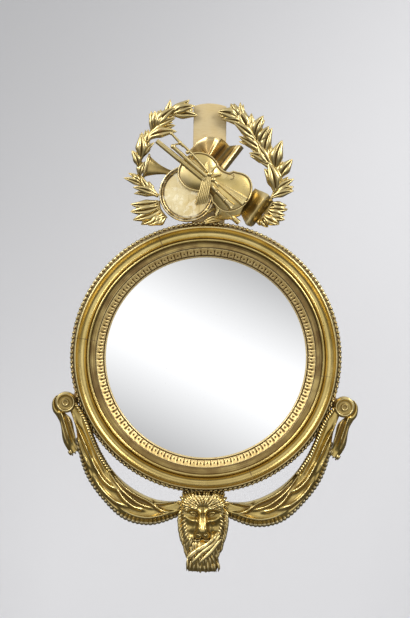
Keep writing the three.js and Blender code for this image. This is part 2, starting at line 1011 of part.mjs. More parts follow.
// Hanging cloth carved in wood, as sections across its run. A section is given by its
// two edges seen from the front; its face carries folds along the run.
function drapery(sections, depthAt, folds) {
  const columns = 2 * folds;
  const rings = sections.map(([inner, outer], i) => {
    const deep = depthAt(i / (sections.length - 1));
    const face = Array.from({ length: columns + 1 }, (_, k) => {
      const t = k / columns;
      const bulge = Math.sin(Math.PI * (0.08 + 0.84 * t)) ** 0.6;
      const fold = k % 2 === 1 ? swagFoldRelief : 0;
      const p = inner.clone().lerp(outer, t);
      return at(p.x, p.y, carvingBack + (deep - swagFoldRelief + fold) * bulge);
    });
    return [...face, at(outer.x, outer.y, carvingBack), at(inner.x, inner.y, carvingBack)];
  });
  return skin(rings);
}

// Sections across the cloth: degrees below the horizontal, how far the edge nearer the
// ring hangs clear of it, and the width there.
const swagStations = [
  [21, 1, 18],
  [28, 1, 20],
  [36, 2, 35.5],
  [46, 14, 46],
  [55, 24, 50],
  [64, 29, 56],
  [72, 29, 48],
  [79, 22, 32],
  [swagEndAngle, 14, 22],
];

const dropStations = [
  [22, 27, 18],
  [26, 24, 24],
  [32, 31, 24],
  [36, 39.5, 16],
  [38.5, 44.5, 9],
];

function roundRing(stations, side) {
  return stations.map(([degrees, clear, width]) => {
    const angle = radians(degrees);
    const direction = new THREE.Vector2(side * Math.cos(angle), -Math.sin(angle));
    const inner = direction.clone().multiplyScalar(ringRadius + clear);
    const outer = direction.clone().multiplyScalar(ringRadius + clear + width);
    return [inner, outer];
  });
}

function swag(side) {
  const depth = (t) => swagDepth * (0.62 + 0.38 * Math.sin(Math.PI * t));
  return drapery(roundRing(swagStations, side), depth, 3);
}

function swagDrop(side) {
  return drapery(roundRing(dropStations, side), () => dropDepth, 2);
}

// ---------- Lion mask, measured from the ring's lowest point ----------

// Rows from the forelock down: [drop, half width, how far the middle stands out,
// how square the row is].
const maskRows = [
  [0, 33, 16, 2.6],
  [8, 41, 28, 2.6],
  [20, 49, 36, 2.4],
  [32, 47, 37, 2.2],
  [44, 46, 38, 2.0],
  [56, 46, 44, 1.8],
  [66, 45, 47, 1.8],
  [76, 44, 40, 2.0],
  [90, 41, 36, 2.2],
  [104, 37, 32, 2.4],
  [120, 32, 27, 2.6],
  [136, 33, 23, 2.8],
  [148, 33, 20, 2.8],
];

function lionMask(room = 0) {
  const columns = 10;
  const rows = [...maskRows, [maskHeight, 29, 14, 2.8]];
  const rings = rows.map(([drop, half, out, square], i) => {
    const grow = i === 0 ? room : i === rows.length - 1 ? -room : 0;
    const z = -ringRadius - drop + grow;
    const face = Array.from({ length: columns + 1 }, (_, k) => {
      const u = (2 * k) / columns - 1;
      const bulge = 0.3 + 0.7 * Math.sqrt(1 - Math.abs(u) ** square);
      return at(u * (half + room), z, carvingBack + out * bulge + room);
    });
    return [...face, at(half + room, z, carvingBack - room), at(-half - room, z, carvingBack - room)];
  });
  return skin(rings);
}

function maskDrape(room = 0) {
  const stations = [
    [38, -ringRadius - 72, drapeRadius - 3],
    [14, -ringRadius - 93, drapeRadius],
    [-10, -ringRadius - 112, drapeRadius],
    [-32, -ringRadius - 130, drapeRadius - 4],
  ].map(([x, z, radius]) => [x, z, radius + room]);
  return bar(stations, carvingBack + drapeLift - room, 8);
}

// The space that the ring takes up, with a glue line round it.
function ringSpace() {
  const radius = ringRadius + gap;
  const front = carvingBack + maskReach;
  return turned(
    [
      [0, 0],
      [radius, 0],
      [radius, front],
      [0, front],
    ],
    ringSegments,
  );
}

// ---------- Assembly ----------

const mirror = new THREE.Group();
mirror.position.z = -hangHeight;
const crest = new THREE.Group();
crest.position.z = ringRadius;
mirror.add(crest);

function place(group, name, body, material) {
  const mesh = new THREE.Mesh(surfaceOf(body), material());
  mesh.name = name;
  group.add(mesh);
}

function sideName(side) {
  return side < 0 ? 'left' : 'right';
}

place(mirror, 'hollow_moulding', hollowMoulding(), gilding);
place(mirror, 'sight_slip', sightSlip(), gilding);
place(mirror, 'bead_strip', beadStrip(), darkGilding);
place(mirror, 'mirror_glass', mirrorGlass(), silvered);
place(mirror, 'back_panel', backPanel(), oldPine);
for (let i = 0; i < blockCount; i += 1) {
  place(mirror, `glass_block_${i + 1}`, glassBlock((360 * i) / blockCount), pine);
}

for (let i = 0; i < buttonCount; i += 1) {
  const [x, z] = buttonPlace(i);
  place(mirror, `turn_button_${i + 1}`, turnButton(i), pine);
  const body = screw(buttonScrewStart, buttonScrewLength, x, z);
  place(mirror, `turn_button_screw_${i + 1}`, body, steel);
}

[-1, 1].forEach((side) => {
  place(mirror, `hanger_plate_${sideName(side)}`, hangerPlate(side), brass);
  place(mirror, `hanger_ring_${sideName(side)}`, hangerRing(side), brass);
  hangerScrewPlaces(side).forEach(([x, z], i) => {
    const body = screw(hangerScrewStart, hangerScrewLength, x, z);
    place(mirror, `hanger_screw_${sideName(side)}_${i + 1}`, body, steel);
  });
});

place(mirror, 'crest_board', crestBoard(), paleGilding);
boardScrewPlaces().forEach(([x, z], i) => {
  const body = screw(screwSink, boardScrewLength, x, z);
  place(mirror, `crest_board_screw_${i + 1}`, body, steel);
});

place(crest, 'trophy_block', trophyBlock(), darkGilding);
place(crest, 'tambourine', tambourine(), paleGilding);
place(crest, 'violin_body', violinBody(), paleGilding);
place(crest, 'violin_neck', violinNeck(), gilding);
place(crest, 'violin_tailpiece', violinTailpiece(), gilding);
place(crest, 'violin_bow', violinBow(), gilding);
place(crest, 'oboe', oboe(), darkGilding);
place(crest, 'flute', flute(), darkGilding);
place(crest, 'music_sheet_lower', musicSheetLower(), darkGilding);
place(crest, 'trophy_ribbon', trophyRibbon(), gilding);

const drum = tambourine(gap);
const booklet = musicSheetLower(gap);
place(crest, 'music_sheet_upper', musicSheetUpper().subtract(drum), gilding);
place(crest, 'trumpet', trumpet().subtract(drum), gilding);
place(crest, 'laurel_branch_left', branch(leftStem, leftLeaves).subtract(drum), gilding);
place(crest, 'laurel_branch_right', branch(rightStem, rightLeaves).subtract(booklet), gilding);
place(crest, 'leaf_spray_left', branch(leftSprayStem, leftSprayLeaves).subtract(drum), gilding);
place(crest, 'leaf_spray_right', branch(rightSprayStem, rightSprayLeaves).subtract(booklet), gilding);

const mask = lionMask(gap);
[-1, 1].forEach((side) => {
  const name = sideName(side);
  const button = roundel(side, gap);
  place(mirror, `swag_cleat_${name}`, swagCleat(side), oldPine);
  const [x, z] = swagCleatScrewPlace(side);
  place(mirror, `swag_cleat_screw_${name}`, screw(cleatScrewStart, cleatScrewLength, x, z), steel);
  place(mirror, `swag_roundel_${name}`, roundel(side), darkGilding);
  place(mirror, `swag_${name}`, swag(side).subtract(button).subtract(mask), gilding);
  place(mirror, `swag_drop_${name}`, swagDrop(side).subtract(button), gilding);
});

place(mirror, 'mask_cleat', maskCleat(), oldPine);
maskScrewPlaces().forEach(([x, z], i) => {
  const body = screw(screwSink, boardScrewLength, x, z);
  place(mirror, `mask_cleat_screw_${i + 1}`, body, steel);
});
const face = lionMask().subtract(ringSpace()).subtract(maskDrape(gap));
place(mirror, 'lion_mask', face, gilding);
place(mirror, 'mask_drape', maskDrape(), gilding);

const part = new THREE.Group();
part.add(mirror);

export default part;
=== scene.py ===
import math
import random

import bmesh
import bpy
import numpy as np
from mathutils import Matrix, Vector


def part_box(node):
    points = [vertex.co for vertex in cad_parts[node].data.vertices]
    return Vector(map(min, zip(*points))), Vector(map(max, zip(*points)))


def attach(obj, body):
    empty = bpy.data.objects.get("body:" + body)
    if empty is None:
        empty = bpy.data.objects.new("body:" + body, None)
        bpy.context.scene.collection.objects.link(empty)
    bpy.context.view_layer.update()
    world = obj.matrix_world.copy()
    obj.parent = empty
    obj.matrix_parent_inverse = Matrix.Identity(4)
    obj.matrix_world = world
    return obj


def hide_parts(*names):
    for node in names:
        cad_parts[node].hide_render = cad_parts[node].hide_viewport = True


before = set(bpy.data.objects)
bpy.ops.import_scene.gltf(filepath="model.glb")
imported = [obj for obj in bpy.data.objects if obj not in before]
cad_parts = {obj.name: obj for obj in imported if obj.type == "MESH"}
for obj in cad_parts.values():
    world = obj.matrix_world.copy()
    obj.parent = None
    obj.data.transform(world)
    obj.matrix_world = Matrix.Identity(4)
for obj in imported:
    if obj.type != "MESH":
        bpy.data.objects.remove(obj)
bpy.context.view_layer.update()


# ---------- Studio ----------
# A pale wall well behind the mirror, a pale floor below it, and soft light from large
# panels: one pair high at both sides, and a broad white card behind the camera, which
# is what the glass shows.

class Number:
    """A number that varies over a surface. Sums on it add Math nodes."""

    def __init__(self, socket):
        self.socket = socket

    def maths(self, operation, *values, clamp=False):
        tree = self.socket.node.id_data
        node = tree.nodes.new("ShaderNodeMath")
        node.operation = operation
        node.use_clamp = clamp
        for slot, value in zip(node.inputs, values):
            plug(slot, value)
        return Number(node.outputs[0])

    def __add__(self, other):
        return self.maths("ADD", self, other)

    __radd__ = __add__

    def __sub__(self, other):
        return self.maths("SUBTRACT", self, other)

    def __rsub__(self, other):
        return self.maths("SUBTRACT", other, self)

    def __mul__(self, other):
        return self.maths("MULTIPLY", self, other)

    __rmul__ = __mul__

    def __truediv__(self, other):
        return self.maths("DIVIDE", self, other)

    def __abs__(self):
        return self.maths("ABSOLUTE", self)

    def at_least(self, low):
        return self.maths("MAXIMUM", self, low, clamp=True)

    def at_most(self, high):
        return self.maths("MINIMUM", self, high)

    def ramp(self, low, high):
        """0 at low, 1 at high, smooth in between."""
        node = self.socket.node.id_data.nodes.new("ShaderNodeMapRange")
        node.interpolation_type = "SMOOTHSTEP"
        plug(node.inputs[0], self)
        node.inputs[1].default_value = low
        node.inputs[2].default_value = high
        return Number(node.outputs[0])


def plug(slot, value):
    """Gives a socket a plain value, or a link."""
    if isinstance(value, Number):
        value = value.socket
    if isinstance(value, bpy.types.NodeSocket):
        slot.id_data.links.new(value, slot)
    else:
        slot.default_value = value


class Finish:
    """A node tree for a surface or for the sky."""

    def __init__(self, owner):
        owner.use_nodes = True
        self.owner = owner
        self.tree = owner.node_tree
        self.tree.nodes.clear()

    def node(self, kind, settings=None, sockets=None):
        made = self.tree.nodes.new("ShaderNode" + kind)
        for name, value in (settings or {}).items():
            if name == "stops":
                for stop in value[2:]:
                    made.color_ramp.elements.new(stop[0])
                for element, (place, colour) in zip(made.color_ramp.elements, value):
                    element.position = place
                    element.color = (*colour, 1)
            else:
                setattr(made, name, value)
        for name, value in (sockets or {}).items():
            plug(made.inputs[name], value)
        return made

    def mix(self, share, first, second):
        """Colour between two others."""
        ends = {0: share, 6: colour(first), 7: colour(second)}
        return self.node("Mix", {"data_type": "RGBA"}, ends).outputs[2]

    def place(self, stretch=None):
        """Place on the object in metres, or stretched for a pattern with a direction."""
        where = self.node("TexCoord").outputs["Object"]
        if stretch:
            where = self.node("Mapping", sockets={"Vector": where, "Scale": stretch}).outputs[0]
        return where

    def noise(self, where, scale, detail, rugged=0.5):
        sockets = {"Vector": where, "Scale": scale, "Detail": detail, "Roughness": rugged}
        return Number(self.node("TexNoise", sockets=sockets).outputs[0])

    def parts(self, where):
        return [Number(part) for part in self.node("SeparateXYZ", sockets={0: where}).outputs]

    def bump(self, strength, distance, height):
        sockets = {"Strength": strength, "Distance": distance, "Height": height}
        return self.node("Bump", sockets=sockets).outputs[0]

    def surface(self, tint, roughness, **others):
        """Body of the material; coat_weight stands for the socket Coat Weight, and so on."""
        sockets = {"Base Color": tint, "Roughness": roughness}
        sockets |= {name.replace("_", " ").title(): value for name, value in others.items()}
        return self.node("BsdfPrincipled", sockets=sockets)

    def output(self, shader):
        kind = "OutputWorld" if isinstance(self.owner, bpy.types.World) else "OutputMaterial"
        self.node(kind, sockets={"Surface": shader.outputs[0]})
        return self.owner


def colour(value):
    return (*value, 1) if isinstance(value, tuple) and len(value) == 3 else value


ring_low, ring_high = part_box("hollow_moulding")
ring_centre = Vector((0, 0, (ring_low.z + ring_high.z) / 2))

photo_height = 618
pixel = 0.002  # what one pixel of the photograph covers at the depth of the carving
carving_depth = 0.022
centre_above = 47.4 * pixel  # the picture's middle lies above the glass's middle
camera_distance = 2.6
camera_roll = math.radians(1.0)
camera_aside, camera_lift = -0.0034, 0.002
sensor_width = 36

camera_data = bpy.data.cameras.new("camera")
camera_data.sensor_fit = "AUTO"
camera_data.sensor_width = sensor_width
camera_data.lens = sensor_width * (camera_distance - carving_depth) / (photo_height * pixel)
camera = bpy.data.objects.new("camera", camera_data)
bpy.context.scene.collection.objects.link(camera)
camera.location = (camera_aside, -camera_distance, ring_centre.z + centre_above + camera_lift)
camera.rotation_euler = (math.radians(90), -camera_roll, 0)
bpy.context.scene.camera = camera

sky = Finish(bpy.data.worlds.new("studio_sky"))
bpy.context.scene.world = sky.owner
right, away, up = sky.parts(sky.node("TexCoord").outputs["Generated"])
band_half = 0.09  # the card is white in an aslant band, and fades out beside it
across_band = right * 0.47 + up + 0.036
fade = ((abs(across_band) - band_half) * 1.8).at_least(0.0)
card = (-1 * away).ramp(0.80, 0.93)
above = up.ramp(-0.40, 0.85)
room = sky.mix(above, (0.12, 0.115, 0.105), (0.80, 0.81, 0.83))
lit_card = sky.mix(fade, (1.08, 1.08, 1.09), (0.0, 0.0, 0.0))
studio = sky.mix(card, room, lit_card)
sky.output(sky.node("Background", sockets={"Color": studio, "Strength": 1.0}))


panel_aside, panel_near, panel_up = 2.3, 1.9, 1.5
for side, name, power in ((-1, "panel_left", 52), (1, "panel_right", 60)):
    panel_data = bpy.data.lights.new(name, "AREA")
    panel_data.shape = "RECTANGLE"
    panel_data.size = 1.1
    panel_data.size_y = 1.5
    panel_data.energy = power
    panel = bpy.data.objects.new(name, panel_data)
    panel.location = (side * panel_aside, -panel_near, panel_up)
    panel.rotation_euler = (ring_centre - panel.location).to_track_quat("-Z", "Y").to_euler()
    bpy.context.scene.collection.objects.link(panel)


def plain_paint(name, tint, roughness, shadow=0.0):
    """Flat paint with painted shade: a little darker towards the upper left, by as much as shadow."""
    paint = Finish(bpy.data.materials.new(name))
    where = paint.place()
    x, _, z = paint.parts(where)
    corner = (z * 0.9 - x).ramp(-0.5, 1.5)
    grain = paint.noise(where, 1.2, 3)
    darker = tuple(0.5 * part for part in tint)
    # Painted shade: the paint darkens towards the upper left.
    toned = paint.mix(corner * shadow + grain * 0.05, tint, darker)
    return paint, paint.surface(toned, roughness)


wall_distance = 0.9
wall_half = 4
wall_top = 3
floor_drop = 1.62  # below the hanging rings
floor_reach = 1.3
wall_paint, wall_body = plain_paint("wall_paint", (0.73, 0.73, 0.745), 0.9, shadow=0.85)
see_through = wall_paint.node("BsdfTransparent")
turned_away = wall_paint.node("NewGeometry").outputs["Backfacing"]
sides = {0: turned_away, 1: wall_body.outputs[0], 2: see_through.outputs[0]}
wall_paint.output(wall_paint.node("MixShader", sockets=sides))
floor_paint, floor_body = plain_paint("floor_paint", (0.62, 0.61, 0.60), 0.7)
floor_paint.output(floor_body)


def stage_sheet(name, near, far, paint):
    """Sheet as wide as the wall, between two edges given as (away, up)."""
    corners = [(-wall_half, *near), (wall_half, *near), (wall_half, *far), (-wall_half, *far)]
    mesh = bpy.data.meshes.new(name)
    mesh.from_pydata(corners, [], [range(4)])
    mesh.materials.append(paint)
    sheet = bpy.data.objects.new(name, mesh)
    sheet.visible_glossy = False
    bpy.context.scene.collection.objects.link(sheet)


stage_sheet("wall", (wall_distance, -floor_drop), (wall_distance, wall_top), wall_paint.owner)
stage_sheet("floor", (-floor_reach, -floor_drop), (wall_distance, -floor_drop), floor_paint.owner)
bpy.context.scene.view_settings.view_transform = "Standard"


# ---------- Hollow moulding ----------
# The turned ring of pine, built up from six segments, gessoed, covered with red-brown
# bole and water-gilt. A dark frieze, a round shoulder, the deep hollow and a sharp
# outer edge. Its back is bare wood.

def gilding(name, light, deep, wear=0.5, rough=0.3, grime_and_shade=1.0, gloss=0.05, extra=None):
    """Gold leaf over bole: rubbed on what stands out, paler on ridges with painted highlight, and dark in
    hollows with old glaze and painted shade.
    """
    gold = Finish(bpy.data.materials.new(name))
    where = gold.place()

    def height(mark):
        return Number(gold.node("Attribute", {"attribute_name": mark}).outputs["Fac"])

    tone = gold.noise(where, 14, 4, 0.6)
    patch = gold.noise(where, 75, 6, 0.6)
    grain = gold.noise(where, 520, 5, 0.7)
    near = height("relief")
    hollow = (near * -1 + (patch - 0.5) * 0.12).ramp(0.03, 0.34)
    deep_hollow = (height("broad") * -1 + (patch - 0.5) * 0.8).ramp(0.5, 2.6)
    # Painted shade, partly old glaze, in hollows and in broad dips of the carving.
    shade = hollow.maths("MAXIMUM", hollow, deep_hollow * 0.85) * grime_and_shade
    ridge = (near + (patch - 0.5) * 0.1).ramp(0.12, 0.4)
    rubbed = patch * 0.8 + tone * 0.4 + ridge * 0.10 * wear
    worn = rubbed.ramp(0.80 - 0.08 * wear, 0.90 - 0.06 * wear)
    leaf = gold.mix(tone.ramp(0.35, 0.65), deep, light)
    # Painted highlight: ridges are made paler.
    lit = gold.mix(ridge * 0.28, leaf, (0.96, 0.84, 0.50))
    # Hollows go dark brown: painted shade with old glaze.
    glazed_and_shaded = gold.mix(shade * 0.9, lit, (0.115, 0.062, 0.014))
    tinted = gold.mix(worn * 0.65, glazed_and_shaded, (0.27, 0.10, 0.035))
    metal = 1 - shade * 0.4 - worn * 0.6
    roughness = rough + shade * 0.25 + (grain - 0.5) * 0.15 + (patch - 0.5) * 0.16
    if extra:
        tinted, metal, roughness = extra(gold, where, tinted, metal, roughness)
    bump = gold.bump(0.3, 0.0004, grain * 0.5 + patch)
    coat = {"coat_weight": gloss, "coat_roughness": 0.22}
    return gold.output(gold.surface(tinted, roughness, metallic=metal, normal=bump, **coat))


def bare_wood(name, light, dark, grain_axis=2, rough=0.75):
    """Planed softwood with its grain along one axis."""
    wood = Finish(bpy.data.materials.new(name))
    stretch = [60.0, 60.0, 60.0]
    stretch[grain_axis] = 4.0
    along = wood.place(stretch)
    rings = wood.noise(along, 1.6, 5)
    pores = wood.noise(along, 14, 3)
    stain = wood.noise(wood.place(), 9, 4)
    streak = rings.ramp(0.42, 0.62)
    tint = wood.mix(streak * 0.8, light, dark)
    dirty = wood.mix(stain.ramp(0.5, 0.75) * 0.6, tint, tuple(0.45 * part for part in dark))
    bump = wood.bump(0.4, 0.0005, rings + pores * 0.5)
    return wood.output(wood.surface(dirty, rough + (pores - 0.5) * 0.2, normal=bump))


def smooth_heights(mesh, passes):
    """How far each point stands above its own surroundings, in millimetres."""
    count = len(mesh.vertices)
    place = np.empty((count, 3))
    mesh.vertices.foreach_get("co", place.ravel())
    normal = np.empty((count, 3))
    mesh.vertex_normals.foreach_get("vector", normal.ravel())
    ends = np.empty(2 * len(mesh.edges), int)
    mesh.edges.foreach_get("vertices", ends)
    first, second = ends.reshape(-1, 2).T
    both = np.concatenate([first, second])
    other = np.concatenate([second, first])
    degree = np.maximum(np.bincount(both, minlength=count), 1)
    soft = place.copy()
    for _ in range(passes):
        near = [np.bincount(both, soft[other, axis], count) / degree for axis in range(3)]
        soft = (soft + np.column_stack(near)) / 2
    return ((place - soft) * normal).sum(1) * 1000


def mark_relief(mesh):
    for name, passes in (("relief", 6), ("broad", 60)):
        mark = mesh.attributes.new(name, "FLOAT", "POINT")
        mark.data.foreach_set("value", smooth_heights(mesh, passes))


def make_piece(name, node, shells, finishes, body="root", crease=50, side_of=None):
    """One piece in a node's place, from shells of points, faces and, where it isn't the
    first, the number of their finish. A point is millimetres to the right of the ring's
    centre, out from the wall, and up from the ring's centre."""
    points, faces, kinds = [], [], []
    for shell_points, shell_faces, *kind in shells:
        start = len(points)
        points.extend(np.asarray(shell_points, float).tolist())
        faces.extend([start + corner for corner in face] for face in shell_faces)
        kinds.extend((kind or [0]) * len(shell_faces))
    mesh = bpy.data.meshes.new(name)
    metres = [(x / 1000, -out / 1000, ring_centre.z + z / 1000) for x, out, z in points]
    mesh.from_pydata(metres, [], faces)
    mesh.polygons.foreach_set("material_index", kinds)
    work = bmesh.new()
    work.from_mesh(mesh)
    bmesh.ops.remove_doubles(work, verts=work.verts, dist=2e-6)
    bmesh.ops.recalc_face_normals(work, faces=work.faces)
    work.to_mesh(mesh)
    work.free()
    mesh.shade_smooth()
    mesh.set_sharp_from_angle(angle=math.radians(crease))
    for finish in finishes:
        mesh.materials.append(finish)
    if side_of:
        for face in mesh.polygons:
            face.material_index = side_of(face.center, face.normal)
    mark_relief(mesh)
    made = bpy.data.objects.new(name, mesh)
    bpy.context.scene.collection.objects.link(made)
    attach(made, body)
    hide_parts(node)


def grid_faces(rows, columns, loop_rows=False, loop_columns=False):
    faces = []
    for i in range(rows if loop_rows else rows - 1):
        for j in range(columns if loop_columns else columns - 1):
            k, m = (i + 1) % rows, (j + 1) % columns
            faces.append((i * columns + j, i * columns + m, k * columns + m, k * columns + j))
    return faces


def closed_rows(points, rows, columns):
    """Shell of closed rows of points, one after another, with both ends closed."""
    faces = grid_faces(rows, columns, False, True)
    faces.append(tuple(range(columns)))
    faces.append(tuple(range((rows - 1) * columns, rows * columns)))
    return points, faces


def turned(profile, steps, centre=(0, 0), closed=True):
    """Shell turned about an axis out of the wall; the profile is (radius, out) pairs."""
    profile = np.asarray(profile, float)
    angles = np.linspace(0, 2 * math.pi, steps, endpoint=False)
    x = centre[0] + np.outer(np.sin(angles), profile[:, 0])
    z = centre[1] + np.outer(np.cos(angles), profile[:, 0])
    out = np.tile(profile[:, 1], (steps, 1))
    points = np.stack([x, out, z], -1).reshape(-1, 3)
    return points, grid_faces(steps, len(profile), True, closed)


def curve_through(points, steps):
    """Smooth line through given points of any width (Catmull-Rom)."""
    points = np.asarray(points, float)
    ends = np.vstack([2 * points[0] - points[1], points, 2 * points[-1] - points[-2]])
    share = np.linspace(0, len(points) - 1, steps)
    index = np.minimum(share.astype(int), len(points) - 2)
    t = (share - index)[:, None]
    a, b, c, d = (ends[index + k] for k in range(4))
    bend = 2 * a - 5 * b + 4 * c - d
    return 0.5 * (2 * b + (c - a) * t + bend * t**2 + (3 * b - a - 3 * c + d) * t**3)


def arc(start, end, sag, steps=10):
    """Profile points from start to end, bowed sideways by sag (positive to the front)."""
    t = np.linspace(0, 1, steps)
    line = np.outer(1 - t, start) + np.outer(t, end)
    line[:, 1] += sag * 4 * t * (1 - t)
    return line.tolist()


ring_back = -ring_high.y * 1000
ring_front = -ring_low.y * 1000
slip_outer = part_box("sight_slip")[1].x * 1000
cove_outer = ring_high.x * 1000
frieze_inner = slip_outer + 0.3
frieze_outer = slip_outer + 12.5
shoulder_outer = frieze_outer + 6.5
hollow_outer = shoulder_outer + 21
crest_outer = hollow_outer + 2.5
bore = 214

warm_gold = (0.72, 0.55, 0.20)
deep_gold = (0.48, 0.345, 0.105)
pale_gold = (0.88, 0.70, 0.34)


def ring_tones(gold, where, tint, metal, roughness):
    """The frieze is rubbed down to the bole, the quirks darken with dirt and painted shade, the cove and
    the lower part have painted shade, and joints have opened.
    """
    x, _, up = gold.parts(where)
    z = up - ring_centre.z
    square = x * x + z * z
    radius = square.maths("SQRT", square) * 1000
    angle = x.maths("ARCTAN2", x, z)

    # Darkening along a groove, for dirt and painted shade.
    def groove_dirt_and_shade(middle, reach):
        return 1 - abs(radius - middle).ramp(0, reach)

    turned_round = gold.node("CombineXYZ", sockets={0: radius * 0.9, 1: angle * 1.6}).outputs[0]
    lines = gold.noise(turned_round, 1, 4)
    cloud = gold.noise(where, 26, 5)
    frieze = 1 - radius.ramp(frieze_outer - 0.8, frieze_outer + 0.4)
    sixth = angle * (3 / math.pi) + 0.37
    nearest = abs(sixth - sixth.maths("ROUND", sixth)) * radius
    joint = (1 - (nearest + (cloud - 0.5) * 3).ramp(0.2, 0.75)) * (1 - frieze * 0.3)
    # The cove outside the crest: painted shade.
    cove = radius.ramp(crest_outer, crest_outer + 1.2)
    quirks = groove_dirt_and_shade(frieze_inner, 1.6) + groove_dirt_and_shade(frieze_outer - 0.1, 1.1) + groove_dirt_and_shade(shoulder_outer + 0.4, 1.5)
    rubbed = frieze * (0.80 + (lines - 0.5) * 2.2 + (cloud - 0.5) * 1.6)
    streak = (lines - 0.5).ramp(0.02, 0.2) * 0.35
    browner = gold.mix(rubbed.at_least(0.0), tint, (0.16, 0.092, 0.028))
    lined = gold.mix(streak, browner, (0.42, 0.28, 0.08))
    # Quirks and cove go dark: dirt and painted shade.
    dirty = gold.mix((quirks + cove * 0.72).at_most(0.9), lined, (0.10, 0.052, 0.014))
    cracked = gold.mix(joint * 0.75, dirty, (0.09, 0.04, 0.02))
    dull = (rubbed * 0.25 + joint * 0.5).at_most(0.7)
    # Painted shade on the lower part of the ring, where less light falls.
    low = (-1 * z).ramp(-0.05, 0.30) * (1 - frieze * 0.5)
    shaded_below = gold.mix(low * 0.40, cracked, (0.36, 0.235, 0.07))
    return shaded_below, metal * (1 - dull), roughness + dull * 0.25


pine = bare_wood("bare_pine", (0.36, 0.25, 0.14), (0.22, 0.14, 0.075), grain_axis=0)
ring_light, ring_deep = (0.80, 0.63, 0.25), (0.62, 0.47, 0.155)
ring_gold = gilding("ring_gilding", ring_light, ring_deep, wear=0.2, grime_and_shade=0.0, extra=ring_tones)

ring_profile = [
    (bore, ring_back),
    (bore, ring_back + 17),
    (frieze_inner, ring_back + 17),
    (frieze_inner, ring_back + 32.4),
    (frieze_inner + 0.8, ring_back + 33.2),
    *arc((frieze_inner + 1.4, ring_back + 33.2), (frieze_outer - 1.2, ring_back + 34.4), -0.7, 9),
    (frieze_outer - 0.6, ring_back + 34.0),
    *arc((frieze_outer, ring_back + 35.2), (shoulder_outer - 0.6, ring_back + 35.6), 3.1, 11),
    (shoulder_outer, ring_back + 35.0),
]
hollow_depth = 10.4
for step in np.linspace(0, 1, 24):
    level = ring_back + 36.2 + (ring_front - ring_back - 36.4) * step
    dip = hollow_depth * math.sqrt(max(0, 1 - (2 * step - 1) ** 2))
    radius = shoulder_outer + 0.6 + (hollow_outer - shoulder_outer - 0.8) * step
    ring_profile.append((radius, level - dip))
ring_profile += [
    (hollow_outer + 0.3, ring_front),
    (crest_outer - 0.9, ring_front),
    (crest_outer, ring_front - 1),
    *arc((crest_outer + 0.2, ring_front - 2.5), (cove_outer, ring_back + 13), -6, 10),
    (cove_outer, ring_back + 12),
    (cove_outer, ring_back),
]


def facing_wall(centre, normal):
    return 1 if normal.y > 0.7 else 0


make_piece(
    "ring_moulding",
    "hollow_moulding",
    [turned(ring_profile, 320)],
    [ring_gold, pine],
    side_of=facing_wall,
)


# ---------- Sight slip ----------
# The inner ring, carved with a row of tongues round a plain lip. It is dropped in from
# the front and holds the glass; its leaf is paler and duller than that of the ring.

slip_low, slip_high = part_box("sight_slip")
sight = 200
tongues = 98
lip_width = 3.2
slip_back = -slip_high.y * 1000
slip_front = -slip_low.y * 1000
lip_front = slip_back + 3.5


def tongue_height(across, share):
    """Height of the carving: across runs -1..1 over one tongue, share from lip to edge."""
    lobe = 1 - np.clip((np.abs(across) - 0.62) / 0.3, 0, 1) ** 2
    lobe = np.where(share < 0.16, lobe * np.clip(share / 0.12, 0, 1), lobe)
    join = np.clip((share - 0.72) / 0.2, 0, 1)
    hole = np.exp(-((across / 0.26) ** 2) - ((share - 0.46) / 0.16) ** 2)
    gap_hole = np.exp(-(((1 - np.abs(across)) / 0.3) ** 2) - ((share - 0.62) / 0.13) ** 2)
    return 2.3 * np.maximum(lobe, join * 0.9) - 2.4 * hole - 1.8 * gap_hole


def dull_leaf(gold, where, tint, metal, roughness):
    """Leaf laid in oil, which stays duller than burnished leaf."""
    return tint, metal * 0.6, roughness


slip_gold = gilding(
    "slip_gilding", (0.78, 0.58, 0.23), (0.62, 0.43, 0.15), wear=0.6, rough=0.40, grime_and_shade=1.5, extra=dull_leaf
)
columns = 14  # of points over one tongue
angles = np.arange(tongues * columns) * 2 * math.pi / (tongues * columns)
across = 2 * ((np.arange(tongues * columns) % columns) / columns) - 1
carved = []
for share in np.linspace(0, 1, 13):
    radius = sight + lip_width + (slip_outer - 1.2 - sight - lip_width) * share
    base = lip_front + (slip_front - 1.2 - lip_front) * share**0.75
    carved.append((np.full_like(angles, radius), base + tongue_height(across, share) - 1.2))
edge_rows = [
    (slip_outer - 0.9, slip_front - 0.1),
    (slip_outer - 0.3, slip_front - 0.1),
    (slip_outer, slip_front - 0.8),
    (slip_outer, slip_back),
    (sight, slip_back),
    (sight, lip_front - 0.8),
    (sight + 0.7, lip_front),
    (sight + 2.4, lip_front),
]
rows = carved + [(np.full_like(angles, r), np.full_like(angles, out)) for r, out in edge_rows]
slip_points = np.vstack(
    [np.column_stack([radius * np.sin(angles), out, radius * np.cos(angles)]) for radius, out in rows]
)
make_piece(
    "sight_slip_carved",
    "sight_slip",
    [(slip_points, grid_faces(len(rows), len(angles), True, True))],
    [slip_gold],
)


# ---------- Bead strip ----------
# The outermost strip, a narrow turned fillet with a string of pearls along its edge,
# glued round the outside of the moulding.

strip_low, strip_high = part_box("bead_strip")
pearl_count = 170
pearl_radius = 3.3
strip_outer = strip_high.x * 1000
strip_back = -strip_high.y * 1000
strip_front = -strip_low.y * 1000
bead_gold = gilding("bead_gilding", (0.48, 0.36, 0.13), (0.28, 0.19, 0.06), wear=0.8, rough=0.2, grime_and_shade=1.4)


def ball(centre, radius, around=10, rings=8, squash=(1, 1, 1)):
    """Closed ball with its pole towards the viewer."""
    points = []
    for i in range(rings + 1):
        polar = math.pi * i / rings
        for j in range(around):
            turn = 2 * math.pi * j / around
            side = radius * math.sin(polar)
            x = centre[0] + side * math.cos(turn) * squash[0]
            z = centre[2] + side * math.sin(turn) * squash[2]
            points.append((x, centre[1] + radius * math.cos(polar) * squash[1], z))
    return points, grid_faces(rings + 1, around, False, True)


